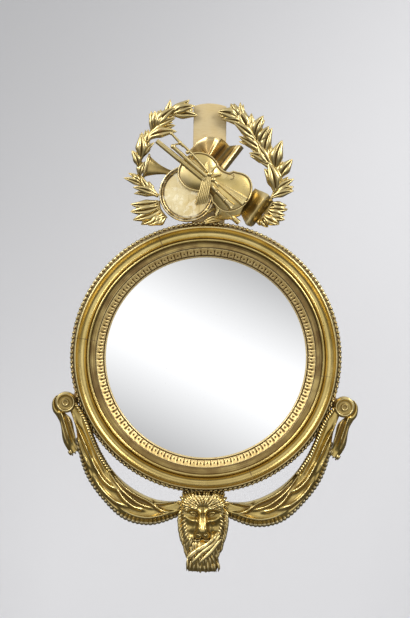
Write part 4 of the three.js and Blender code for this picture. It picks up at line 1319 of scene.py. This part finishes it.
roundel_radius = 21
roundel_gold = gilding("roundel_gilding", (0.66, 0.50, 0.18), (0.46, 0.33, 0.10), wear=0.3, grime_and_shade=0.45)
roundel_angle = math.radians(18.7)
for side, name in ((-1, "left"), (1, "right")):
    reach = strip_outer + 0.3 + roundel_radius
    place = (side * reach * math.cos(roundel_angle), -reach * math.sin(roundel_angle))
    rim = carving_back + 18
    roundel_profile = [
        (0, carving_back),
        (roundel_radius, carving_back),
        (roundel_radius, rim - 5),
        (roundel_radius - 0.8, rim - 2.6),
        (roundel_radius - 2.0, rim - 2.0),
        (roundel_radius - 2.8, rim - 1.4),
        (roundel_radius - 3.6, rim),
        (roundel_radius - 4.8, rim + 0.2),
        (roundel_radius - 5.8, rim - 0.6),
        (roundel_radius - 6.6, rim - 2.6),
        (roundel_radius - 9, rim - 3.6),
        (8, rim - 3.8),
        (7.2, rim - 3.2),
        (6.9, rim + 0.6),
        (6.0, rim + 1.9),
        (4.8, rim + 2.0),
        (3.8, rim + 1.0),
        (3.0, rim - 1.6),
        (0, rim - 2.0),
    ]
    make_piece(
        f"roundel_{name}",
        f"swag_roundel_{name}",
        [turned(roundel_profile, 72, place, closed=False)],
        [roundel_gold],
    )


# ---------- Swags and drops ----------
# Drapery carved in lime wood: folds that fan out from below the roundel and gather
# again behind the lion's mane, a roped band along the inner edge and a knotted hem.

# Stations of the cloth: degrees below level, distance from the strip, width.
swag_stations = [(21, 1, 18), (28, 1, 20), (36, 2, 35.5), (46, 14, 46), (55, 24, 50)]
swag_stations += [(64, 29, 56), (72, 29, 48), (79, 22, 32), (83.5, 14, 22)]
round_roundel = [(15.3, 33.5, 4), (16.8, 40.6, 6), (18.7, 42.8, 8), (20.6, 39.6, 12)]
below_roundel = [(22.6, 30.5, 18), (26, 24, 24), (31, 31, 27), (34.5, 38, 22), (36.8, 43.5, 15)]
drop_stations = round_roundel + below_roundel

# Crests of the folds on the left swag as (pixel, pixel) points, with height and width.
long_fold = [(114, 473), (125.9, 486.1), (138.2, 493.9), (149.3, 499.5), (158.2, 506.2)]
long_fold += [(167.2, 510.1), (179, 509)]
low_fold = [(117, 505), (124.8, 509.6), (135.9, 514), (147.1, 515.7), (158.2, 514)]
low_fold += [(167.2, 511.8), (179, 511)]
swag_folds = [
    ([(70.5, 408), (75, 421), (80.1, 430.3), (87.9, 448.2), (93.5, 461.5)], 9.5, 4.2),
    ([(79, 405), (87, 426), (94, 444), (101, 460), (107, 473)], 7.5, 3.6),
    ([(77, 434), (82, 450), (90, 468)], 6.0, 3.6),
    ([(91, 455), (94.6, 462.7), (102.4, 476), (109.1, 482.8), (115.8, 486.7), (121, 489)], 9.5, 4.0),
    ([(92, 472), (95.7, 478.3), (104.7, 490.6), (113.6, 498.4), (122.5, 502.9), (128, 505)], 9.0, 3.8),
    ([(113, 481), (116.9, 486.1), (123.6, 496.2), (131.5, 502.9), (139.3, 506.8), (144, 508)], 9.0, 3.6),
    ([(109, 470), (112.5, 475), (122.5, 488.3), (135.9, 499.5), (144.8, 504), (153.8, 506.8)], 8.5, 3.0),
    (long_fold, 9.5, 3.6),
    ([(150, 499), (157.1, 501.2), (166.1, 500.6), (181, 498)], 9.0, 4.0),
    (low_fold, 8.0, 3.8),
    ([(84, 458), (92, 476), (103, 494), (117, 508), (130, 514.5)], 4.5, 3.4),
]
rope_band = [(75.5, 402), (85.7, 419.1), (92.4, 437), (98, 450.4), (104.7, 461.5), (110.5, 470)]
drop_folds = [
    ([(60.6, 404), (61.6, 410), (65.6, 424.7), (71.2, 443)], 9.0, 3.6),
    ([(66.2, 408), (68.7, 416), (73, 430), (77.9, 446)], 9.0, 3.4),
    ([(59.5, 414), (62.5, 428), (67.5, 445)], 5.0, 2.4),
]


def round_ring(stations, rows):
    """Inner and outer edges of hanging cloth on the left side, smooth through stations."""
    line = curve_through(stations, rows)
    angle = np.radians(line[:, 0])
    way = np.column_stack([-np.cos(angle), -np.sin(angle)])
    inner = way * (strip_outer + line[:, 1:2])
    outer = way * (strip_outer + line[:, 1:2] + line[:, 2:3])
    return inner, outer


def near_line(points, line):
    """Distance from each point to a line through given points, and how far along."""
    line = curve_through(line, 8 * len(line))
    best = np.full(len(points), 1e9)
    along = np.zeros(len(points))
    run = 0.0
    for a, b in zip(line[:-1], line[1:]):
        step = b - a
        length = np.linalg.norm(step)
        share = np.clip(((points - a) @ step) / length**2, 0, 1)
        away = np.linalg.norm(points - (a + share[:, None] * step), axis=1)
        nearer = away < best
        along[nearer] = run + share[nearer] * length
        best = np.minimum(best, away)
        run += length
    return best, along, run


def cloth_shell(stations, folds, deep, rows, columns, side):
    inner, outer = round_ring(stations, rows)
    share = np.linspace(0, 1, columns)
    plan = inner[:, None] * (1 - share)[None, :, None] + outer[:, None] * share[None, :, None]
    flat = plan.reshape(-1, 2)
    along = np.repeat(np.linspace(0, 1, rows), columns)
    across = np.tile(share, rows)
    to_hem = np.clip((across - 0.72) / 0.28, 0, 1)
    bulge = np.sin(math.pi * (0.05 + 0.9 * across)) ** 0.5 * (1 - 0.45 * to_hem)
    base = deep(along) * (0.32 + 0.68 * bulge)
    crest = np.zeros(len(flat))
    for line, rise, width in folds:
        away, place, total = near_line(flat, np.array(from_photo(line)))
        ends = np.clip(place / (0.22 * total), 0, 1)
        ends *= np.clip((total - place) / (0.25 * total), 0, 1)
        ridge = rise * (0.15 + 0.85 * ends) * np.exp(-((away / (0.95 * width)) ** 1.7))
        crest = np.maximum(crest, ridge) + 0.25 * np.minimum(crest, ridge)
    height = base * 0.74 + crest
    height = height.reshape(rows, columns)
    for _ in range(2):
        height[1:-1] = (height[:-2] + 2 * height[1:-1] + height[2:]) / 4
        height[:, 1:-1] = (height[:, :-2] + 2 * height[:, 1:-1] + height[:, 2:]) / 4
    height = np.maximum(height.ravel(), 2.0)
    front = np.column_stack([side * -flat[:, 0], carving_back + height, flat[:, 1]])
    rear = np.column_stack([side * -flat[:, 0], np.full(len(flat), carving_back), flat[:, 1]])
    return closed_sheet(front, rear, rows, columns)


def cord_shell(points, side, radius, out, beat=4.4, twist=0.0, depth=0.3, sides=12):
    """Cord along given points, cut into small knots, or into strands where it twists."""
    line = curve_through(points, 400)
    run = np.concatenate([[0], np.cumsum(np.linalg.norm(np.diff(line, axis=0), axis=1))])
    steps = int(run[-1] / 0.7)
    even = np.linspace(0, run[-1], steps)
    x = np.interp(even, run, line[:, 0])
    z = np.interp(even, run, line[:, 1])
    radii = np.interp(even / run[-1], np.linspace(0, 1, len(radius)), radius)
    path = np.column_stack([side * -x, np.full(steps, out), z, np.ones(steps)])
    shell, faces = tube(path, sides=sides, steps=steps)
    shell = shell.reshape(steps, sides, 3)
    middle = path[:, None, :3]
    turn = np.linspace(0, 1, sides, endpoint=False)
    wave = np.abs(np.sin(math.pi * (even[:, None] / beat + twist * turn[None, :])))
    grown = radii[:, None] * (1 - depth + depth * wave)
    shell = middle + (shell - middle) * grown[:, :, None]
    return shell.reshape(-1, 3), faces


def swag_depth(along):
    return 26 * (0.60 + 0.30 * np.sin(math.pi * along))


def drop_depth(along):
    return 15 + 0 * along


# The hem's leaf is nearly black: painted shade on the lower edge of the cloth, where less light falls.
hem_shade_gold = gilding(
    "hem_shade_gilding", (0.13, 0.085, 0.026), (0.07, 0.042, 0.014), wear=0.2, rough=0.5, gloss=0.0
)
swag_gold = gilding("drapery_gilding", warm_gold, deep_gold, wear=0.35, rough=0.25)
for side, name in ((-1, "left"), (1, "right")):
    inner, outer = round_ring(swag_stations, 60)
    hem_radii, rope_radii = (2.4, 4.2, 4.6, 4.4, 3.2), (4.0, 5.0, 6.0, 6.6, 5.0)
    swag_shells = [
        cloth_shell(swag_stations, swag_folds, swag_depth, 230, 54, side),
        (*cord_shell(outer[12:60] * 1.003, side, hem_radii, carving_back + 8, 8.6, depth=0.45), 1),
        cord_shell(from_photo(rope_band), side, rope_radii, carving_back + 13, 5.8, 2.0, 0.3, 18),
    ]
    make_piece(f"swag_cloth_{name}", f"swag_{name}", swag_shells, [swag_gold, hem_shade_gold], crease=70)
    inner, outer = round_ring(below_roundel, 30)
    drop_shells = [cloth_shell(drop_stations, drop_folds, drop_depth, 130, 34, side)]
    hanging = unit(outer[-1] + inner[-1] - outer[-6] - inner[-6])
    for k, start in enumerate(np.linspace(inner[-6], outer[-6], 7)):
        tip = start + hanging * (9 + 3 * (k % 2))
        middle = (start + tip) / 2
        strand = [
            (side * -start[0], carving_back + 8, start[1], 2.4),
            (side * -middle[0], carving_back + 8, middle[1], 2.2),
            (side * -tip[0], carving_back + 6, tip[1], 1.4),
        ]
        drop_shells.append(tube(strand, sides=8))
    make_piece(f"drop_cloth_{name}", f"swag_drop_{name}", drop_shells, [swag_gold], crease=70)


# ---------- Lion mask ----------
# Carved in high relief: brows, deep-set eyes, a broad nose, a bulging muzzle and a mane
# of locks that ends in a short beard. The ring's lowest point is the mask's top.

# Rows of the mask: drop below its top, half width, height, and how square it is across.
mask_rows = [(-3, 40, 35, 2.6), (0, 41, 39, 2.6), (8, 45, 43, 2.6), (20, 49, 42, 2.4)]
mask_rows += [(32, 47, 39, 2.2), (44, 46, 38, 2.0), (56, 46, 41, 1.8), (66, 45, 42, 1.8)]
mask_rows += [(76, 44, 38, 2.0), (90, 41, 34, 2.2), (104, 37, 30, 2.4), (120, 32, 27, 2.6)]
mask_rows += [(136, 33, 23, 2.8), (148, 33, 20, 2.8), (156, 29, 14, 2.8)]


def mask_row(drop):
    """Half width, height and squareness of the mask at a drop below its top."""
    drops, *measures = zip(*mask_rows)
    return [np.interp(drop, drops, measure) for measure in measures]


def mound(x, drop, place, spread, height):
    return height * np.exp(-(((x - place[0]) / spread[0]) ** 2) - ((drop - place[1]) / spread[1]) ** 2)


def ridge_line(x, drop, line, width):
    """How near each point is to a line on the mask: 1 on it, 0 well off it."""
    away, _, _ = near_line(np.column_stack([x.ravel(), drop.ravel()]), np.array(line, float))
    return np.exp(-((away / width) ** 2)).reshape(x.shape)


# Forms on each half of the face: (places, spread, height). One place is a mound, more are
# a ridge, and a height below nought is a hollow or a groove.
face_forms = [
    ([(17, 38)], (9.5, 6.5), -6.5),  # socket of the eye
    ([(11, 44)], (3.4, 6), -4.2),  # its inner corner
    ([(18, 37.6)], (3.8, 3.2), 3.8),  # eyeball
    ([(6, 33), (9, 28.5), (15, 25.5), (23, 26), (31, 30)], 3.2, 5.2),  # brow
    ([(12, 38.5), (15, 35.2), (19.5, 34.4), (24, 35.4)], 1.2, 2.0),  # upper lid
    ([(12, 39.5), (16, 40.8), (20.5, 39.8), (24, 36.5)], 1.1, 0.9),  # lower lid
    ([(18, 37.8)], (1.4, 1.4), -2.4),  # drilled pupil
    ([(4.5, 36), (5.5, 50), (8.2, 64)], 2.0, 1.6),  # edge of the nose
    ([(13, 50), (19, 51), (26, 49), (36, 43)], 4.0, 3.6),  # cheekbone
    ([(22, 63)], (9, 9), -7.0),  # hollow of the cheek
    ([(23, 77)], (7, 7), -5.0),  # hollow of the jaw
    ([(13.5, 60)], (3.0, 10), -3.0),  # side of the muzzle
    ([(10.5, 62), (14.5, 69), (17.5, 78), (15, 88)], 2.2, -2.6),  # fold round the muzzle
    ([(7.5, 81)], (6.5, 5.5), 3.6),  # whisker pad
    ([(5.6, 75)], (2.8, 1.8), -4.6),  # nostril
    ([(0, 84), (4, 87.5), (9, 88.5), (14, 87)], 1.6, -5.0),  # mouth
]
for k in range(3):  # rows of whiskers
    face_forms.append(([(6 + k, 76 + 2.6 * k), (10 + k, 75.5 + 3 * k), (14 + k, 77 + 3.2 * k)], 0.8, -0.9))


def mask_level(x, drop):
    """How far the mask stands out at x and at a drop below the ring's lowest point."""
    half, out, square = mask_row(drop)
    edge = np.clip(np.abs(x) / half, 0, 1)
    level = out * (0.20 + 0.80 * np.sqrt(np.clip(1 - edge**square, 0, 1))) * 0.80
    x = x + 1
    level = level + mound(x, drop, (0, 22), (19, 16), 3.0)
    nose_half = np.interp(drop, [20, 34, 50, 64, 74], [5.0, 6.5, 8.5, 11.0, 11.5])
    nose_drops = [14, 26, 40, 54, 64, 69, 73, 77, 80]
    nose_rise = np.interp(drop, nose_drops, [0, 2.5, 6.0, 10.0, 12.5, 12.5, 10.0, 4.5, 0])
    level = level + nose_rise / (1 + (np.abs(x) / nose_half) ** 4)
    level = level - mound(x, drop, (0, 50), (2.8, 20), 2.6) - mound(x, drop, (0, 20), (2.2, 9), 1.5)
    muzzle = mound(x, drop, (0, 80), (15, 10), 6.5)
    level = level + muzzle - mound(x, drop, (0, 94), (13, 6), 3.5)
    for side in (-1, 1):
        for line, spread, height in face_forms:
            if len(line) == 1:
                level = level + mound(x * side, drop, line[0], spread, height)
            else:
                level = level + height * ridge_line(x * side, drop, line, spread)
    level = level - mound(x, drop, (0, 80), (1.2, 5.5), 3.0)
    return np.maximum(level, 1.5)


def mask_surface():
    rows, columns = 190, 130
    drops = np.linspace(-0.5, 155, rows)
    half = np.array([mask_row(drop)[0] for drop in drops]) * 0.94
    x = half[:, None] * np.linspace(-1, 1, columns)[None, :]
    drop = np.repeat(drops[:, None], columns, 1)
    level = mask_level(x, drop)
    front = np.stack([x, carving_back + level, -strip_outer - drop], -1).reshape(-1, 3)
    rear = front.copy()
    rear[:, 1] = carving_back
    return closed_sheet(front, rear, rows, columns)


def lock(points, width, lift=2.0):
    """Pointed lock of hair through (x, drop) points; its tip stands clear of the mask."""
    line = curve_through(points, 10)
    half = np.array([mask_row(drop)[0] for drop in line[:, 1]])
    inside = np.clip(line[:, 0], -half * 0.93, half * 0.93)
    level = np.maximum(mask_level(inside, np.clip(line[:, 1], -3, 153)), 24 - line[:, 1])
    taper = width * np.array([0.55, 0.80, 0.96, 1.0, 0.98, 0.90, 0.78, 0.60, 0.38, 0.10])
    raised = lift * np.array([-0.6, -0.3, 0.0, 0.3, 0.55, 0.8, 1.0, 1.1, 1.0, 0.6])
    path = np.column_stack([line[:, 0], carving_back + level + raised, -strip_outer - line[:, 1], taper])
    return tube(path, sides=9, steps=26, flat=0.9)


def curved_lock(root, degrees, length, width, curl=0.0, lift=2.0):
    """Lock that leaves its root at an angle below the sideways line, then curls."""
    points = [np.array(root, float)]
    heading = degrees
    for _ in range(3):
        way = np.array([math.cos(math.radians(heading)), math.sin(math.radians(heading))])
        points.append(points[-1] + way * length / 3)
        heading += curl
    for point in points:
        point[1] = min(max(point[1], -9), 155.5)
        reach = mask_row(point[1])[0] + 2.5
        point[0] = min(max(point[0], -reach), reach)
    return lock(points, width, lift)


mask_shells = [mask_surface()]
chance = random.Random(11)
for row, (start, reach) in enumerate([(31, 13), (23, 13), (15, 12)]):
    count = 17 - 3 * row
    for k in range(count):
        turn = math.radians(-68 + 136 * k / (count - 1) + chance.uniform(-2, 2))
        way = np.array([math.sin(turn) * 1.22, -math.cos(turn) * 0.86])
        root = np.array([-1, 30]) + way * (start - 6)
        middle = np.array([-1, 30]) + way * (start + 2)
        tip = np.array([-1, 30]) + way * (start + reach) + (chance.uniform(-2, 2), -4 * (row == 0))
        shell = [(x, max(drop, least)) for (x, drop), least in zip((root, middle, tip), (4, -4, -11))]
        mask_shells.append(lock(shell, 2.9 - 0.2 * row, 1.8 + 0.8 * row))
for side in (-1, 1):
    corner_locks = [(20, 5, -80), (26, 5, -74), (31, 6, -70), (36, 7, -66), (38, 12, -45), (41, 18, -22)]
    for x, drop, degrees in corner_locks:
        out_way = degrees if side > 0 else 180 - degrees
        mask_shells.append(curved_lock((side * x, drop), out_way, 14, 3.2, 6 * side, 2.6))
    for x, drop, size in [(42, 24, 6.2), (41, 36, 5.0)]:
        curl = []
        for k in range(14):
            turn = 0.55 * k
            reach = size * (1 - 0.055 * k)
            curl.append((side * (x + reach * math.cos(turn)), drop + reach * math.sin(turn)))
        line = curve_through(curl, 40)
        level = mask_level(np.clip(line[:, 0], -44, 44), line[:, 1])
        out = carving_back + level + 1.6
        path = np.column_stack([line[:, 0], out, -strip_outer - line[:, 1], np.linspace(2.5, 1.5, 40)])
        mask_shells.append(tube(path, sides=8, steps=60))
    inner_edge = [(25, 20), (31, 30), (33, 42), (33, 56), (30, 68), (26, 80), (21, 90), (14, 99)]
    middle_edge = [(39, 30), (42, 42), (42, 56), (40, 70), (36, 83), (30, 94), (22, 103)]
    outer_edge = [(45, 44), (44, 58), (41, 74), (37, 88), (33, 100), (29, 110)]
    edges = [
        (inner_edge, 15, 22, (15, 82), 2.9),
        (middle_edge, 13, 21, (42, 84), 3.1),
        (outer_edge, 10, 22, (58, 88), 3.1),
    ]
    for line, count, length, (first, last), width in edges:
        places = curve_through(line, count)
        for k, place in enumerate(places):
            degrees = first + (last - first) * k / (count - 1) + chance.uniform(-6, 6)
            out_way = degrees if side > 0 else 180 - degrees
            root = (side * place[0], place[1])
            long = length * chance.uniform(0.85, 1.15)
            mask_shells.append(curved_lock(root, out_way, long, width, side * chance.uniform(4, 12), 2.2))
for drop, spread, count, length in [(92, 13, 5, 22), (103, 19, 7, 24), (116, 25, 9, 24), (131, 29, 10, 25)]:
    for k in range(count):
        share = -1 + 2 * k / (count - 1)
        root = (share * spread + chance.uniform(-1, 1), drop + 5 * (1 - share**2) + chance.uniform(-2, 2))
        degrees = 90 - 12 * share - 5 + chance.uniform(-7, 7)
        mask_shells.append(curved_lock(root, degrees, length, 3.0, chance.uniform(-7, 7), 2.2))
# The mask's leaf is darker than the carved gold: painted shade for the low part of the frame, where less
# light falls.
mask_gold = gilding("mask_gilding", (0.62, 0.46, 0.16), (0.40, 0.285, 0.085), wear=0.3, grime_and_shade=1.1)
make_piece("lion_head", "lion_mask", mask_shells, [mask_gold], crease=60)


# ---------- Cloth in the lion's mouth ----------
# A band of drapery drawn through the jaws and twisted across the beard, carved in the
# same gilt wood as the swags.

cloth_shells = []
bands = [
    [(29.3, 76), (18.3, 89.5), (6, 101), (-10.6, 112), (-24, 124)],
    [(34, 80), (25.4, 92), (14.4, 103), (0.6, 113.7), (-12, 126), (-20, 134)],
    [(37, 88), (29.7, 96), (17.4, 112), (6.5, 123), (-4, 133)],
    [(33, 76), (22, 86), (10, 97), (-6, 107), (-20, 117), (-30, 126)],
]
for k, band in enumerate(bands):
    line = curve_through(band, 24)
    level = carving_back + np.maximum(mask_level(line[:, 0], line[:, 1]), 22) + 3.6 - 0.5 * (k == 3)
    width = 4.6 * np.sin(np.linspace(0.35, math.pi - 0.3, 24)) ** 0.6
    path = np.column_stack([line[:, 0], level, -strip_outer - line[:, 1], width])
    cloth_shells.append(tube(path, sides=14, steps=48, flat=0.8))
make_piece("mouth_cloth", "mask_drape", cloth_shells, [swag_gold], crease=70)


# ---------- Back panel ----------
# A round of old pine that closes the ring behind the glass. Its edge is chamfered and
# it is held in by the turn buttons.

old_pine = bare_wood("old_pine", (0.27, 0.18, 0.10), (0.15, 0.095, 0.05), grain_axis=0)
panel_radius = bore - 0.3
panel_front = -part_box("back_panel")[0].y * 1000
panel_profile = [
    *[(r, ring_back) for r in np.linspace(0, panel_radius - 12, 9)],
    (panel_radius - 5, ring_back + 0.3),
    (panel_radius - 0.4, ring_back + 1.1),
    (panel_radius, ring_back + 1.4),
    (panel_radius, panel_front - 0.5),
    (panel_radius - 0.6, panel_front),
    (0, panel_front),
]
make_piece("panel_disc", "back_panel", [turned(panel_profile, 144, closed=False)], [old_pine])


# ---------- Boards and blocks of bare wood ----------
# Sawn battens with their edges planed off: one behind each roundel, one behind the
# mask's forelock, and four small blocks glued in behind the rim of the glass.

def laid(outline, centre, angle):
    """The outline turned by an angle about the way out of the wall, and moved to a centre."""
    cosine, sine = math.cos(angle), math.sin(angle)
    x, z = outline.T
    return np.column_stack([centre[0] + x * cosine - z * sine, centre[1] + x * sine + z * cosine])


def batten(centre, length, width, back, front, angle, bevel=0.9):
    """Batten with bevelled edges, turned by an angle about the way out of the wall."""
    steps = max(4, int(length / 6))
    corners = np.array([(-0.5, -0.5), (0.5, -0.5), (0.5, 0.5), (-0.5, 0.5)]) * (length, width)
    levels = [(bevel, back), (0, back + bevel), (0, front - bevel), (bevel, front)]
    return plaque(laid(divided(corners, steps), centre, angle), levels)


cleat_pine = bare_wood("cleat_pine", (0.30, 0.20, 0.11), (0.17, 0.11, 0.06), grain_axis=0)
block_pine = bare_wood("block_pine", (0.50, 0.36, 0.21), (0.36, 0.24, 0.13), grain_axis=0, rough=0.65)
for side, name in ((-1, "left"), (1, "right")):
    node = f"swag_cleat_{name}"
    shell = batten(node_middle(node), 66, 22, *node_depth(node), -side * roundel_angle)
    shell = bored(shell, [f"swag_cleat_screw_{name}"])
    make_piece(f"batten_{name}", f"swag_cleat_{name}", [shell], [cleat_pine])
mask_low, mask_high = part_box("mask_cleat")
cleat_width = (mask_high.x - mask_low.x) * 1000
cleat_height = (mask_high.z - mask_low.z) * 1000
shell = batten(node_middle("mask_cleat"), cleat_width, cleat_height, *node_depth("mask_cleat"), 0)
shell = bored(shell, ["mask_cleat_screw_1", "mask_cleat_screw_2"])
make_piece("batten_mask", "mask_cleat", [shell], [cleat_pine])
for i in range(4):
    name = f"glass_block_{i + 1}"
    place = node_middle(name)
    angle = math.atan2(place[1], place[0]) + math.pi / 2
    shell = batten(place, 30, 10, *node_depth(name), angle, 0.7)
    make_piece(f"block_{i + 1}", name, [shell], [block_pine])


# ---------- Turn buttons ----------
# Four small pine buttons with rounded ends, each on one screw, swung over the edge of
# the back panel.

button_length = 44
button_width = 14
button_reach = 236  # of its screw, from the ring's centre


def round_ended(reach_back, reach_ahead, half, steps):
    """Outline of a bar between two centres on a line, with half-round ends."""
    turns = np.linspace(-math.pi / 2, math.pi / 2, steps + 1)
    end = half * np.column_stack([np.cos(turns), np.sin(turns)])
    return np.vstack([end + (reach_ahead, 0), -end - (reach_back, 0)])


for i in range(4):
    name = f"turn_button_{i + 1}"
    back, front = node_depth(name)
    turn = math.radians(45 + 90 * i)
    pivot = (button_reach * math.cos(turn), button_reach * math.sin(turn))
    outline = round_ended(0, button_length - button_width, button_width / 2, 16)
    levels = [(1.1, back), (0.3, back + 0.4), (0, back + 1.0), (0, front - 0.4), (0.4, front)]
    shell = plaque(laid(outline, pivot, turn + math.pi), levels)
    make_piece(f"button_{i + 1}", name, [shell], [block_pine], body=name)


# ---------- Screws ----------
# Old steel wood screws with slotted heads, turned in from behind: in the buttons, the
# hanger plates, the cleats and the crest board.

steel = Finish(bpy.data.materials.new("old_steel"))
place = steel.place()
fleck = steel.noise(place, 420, 4)
rusty = steel.noise(place, 130, 5).ramp(0.5, 0.66)
rusted = steel.mix(rusty * 0.8, (0.36, 0.35, 0.34), (0.17, 0.075, 0.035))
roughness = 0.36 + rusty * 0.35 + (fleck - 0.5) * 0.2
pitted = steel.bump(0.3, 0.0002, fleck)
steel.output(steel.surface(rusted, roughness, metallic=1 - rusty * 0.7, normal=pitted))


def slotted_screw(centre, back, front, turn):
    """Screw with a domed, slotted head; the slot is cut into a square grid of points."""
    radius, shank, height = 4.5, 2.0, 2.5
    steps = 12
    grid = np.linspace(-1, 1, steps + 1)
    cells, index = [], {}
    for i, u in enumerate(grid):
        for j, v in enumerate(grid):
            x = u * math.sqrt(1 - v * v / 2) * radius
            z = v * math.sqrt(1 - u * u / 2) * radius
            reach = math.hypot(x, z) / radius
            slot_cut = 1.1 if abs(x) < 0.62 and reach < 0.99 else 0
            cells.append((x, 0.9 * reach**2 + slot_cut, z))
            index[i, j] = len(cells) - 1
    cosine, sine = math.cos(turn), math.sin(turn)
    points = [
        (centre[0] + x * cosine - z * sine, back + deep, centre[1] + x * sine + z * cosine)
        for x, deep, z in cells
    ]
    faces = [
        (index[i, j], index[i + 1, j], index[i + 1, j + 1], index[i, j + 1])
        for i in range(steps)
        for j in range(steps)
    ]
    rim = [index[i, 0] for i in range(steps)] + [index[steps, j] for j in range(steps)]
    rim += [index[i, steps] for i in range(steps, 0, -1)] + [index[0, j] for j in range(steps, 0, -1)]
    last = rim
    thin = shank / radius
    neck = back + height
    for out, share in ((neck - 0.38 * height, 1.0), (neck, thin), (front - 1.0, thin), (front, 0.3)):
        ring = []
        for corner in rim:
            x, _, z = points[corner]
            points.append((centre[0] + (x - centre[0]) * share, out, centre[1] + (z - centre[1]) * share))
            ring.append(len(points) - 1)
        for k in range(len(rim)):
            m = (k + 1) % len(rim)
            faces.append((last[k], last[m], ring[m], ring[k]))
        last = ring
    faces.append(tuple(last))
    return points, faces


screw_nodes = [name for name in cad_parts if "screw" in name]
for k, name in enumerate(sorted(screw_nodes)):
    shell = slotted_screw(node_middle(name), *node_depth(name), turn=0.5 + 0.9 * k)
    make_piece(name.replace("screw", "slotted"), name, [shell], [steel.owner], crease=35)


# ---------- Hanger plates and rings ----------
# Stamped brass plates with an eye in the middle and rounded ends, each with a brass
# ring that swings in the eye.

brass = Finish(bpy.data.materials.new("tarnished_brass"))
place = brass.place()
tarnish = brass.noise(place, 60, 6).ramp(0.42, 0.62)
scuff = brass.noise(place, 700, 3)
stained = brass.mix(tarnish * 0.85, (0.68, 0.50, 0.20), (0.22, 0.145, 0.06))
roughness = 0.28 + tarnish * 0.28 + (scuff - 0.5) * 0.15
scuffed = brass.bump(0.25, 0.0002, scuff)
brass.output(brass.surface(stained, roughness, metallic=1 - tarnish * 0.3, normal=scuffed))

hanger_spread = 103
hanger_height = 222
pivot_out = 11.8
plate_back, plate_front = 14.2, 16.0
plate_half, plate_end = 15, 7
wire = 1.75
ring_radius = 13
plate_levels = [(0.5, plate_back), (0.1, plate_back + 0.3), (0, plate_front - 0.3), (0.3, plate_front)]
eye_rings = [(2.3, -2.0), (3.9, -2.0), (4.2, -1.6), (4.2, 1.6), (3.9, 2.0), (2.3, 2.0)]
for side, name in ((-1, "left"), (1, "right")):
    eye = (side * hanger_spread, hanger_height)
    outline = round_ended(plate_half, plate_half, plate_end, 12) + eye
    plate_shell = plaque(outline, plate_levels)
    eye_points = []
    for radius, x in eye_rings:
        for turn in np.linspace(0, 2 * math.pi, 28, endpoint=False):
            out, z = pivot_out + radius * math.cos(turn), eye[1] + radius * math.sin(turn)
            eye_points.append((eye[0] + x, out, z))
    eye_shell = (eye_points, grid_faces(len(eye_rings), 28, True, True))
    make_piece(
        f"plate_{name}",
        f"hanger_plate_{name}",
        [plate_shell, eye_shell],
        [brass.owner],
    )
    section = [
        (ring_radius + wire * math.cos(turn), pivot_out + wire * math.sin(turn))
        for turn in np.linspace(0, 2 * math.pi, 14, endpoint=False)
    ]
    ring_shell = turned(section, 56, (eye[0], eye[1] - ring_radius))
    ring_name = f"hanger_ring_{name}"
    make_piece(
        f"brass_ring_{name}",
        ring_name,
        [ring_shell],
        [brass.owner],
        body=ring_name,
    )
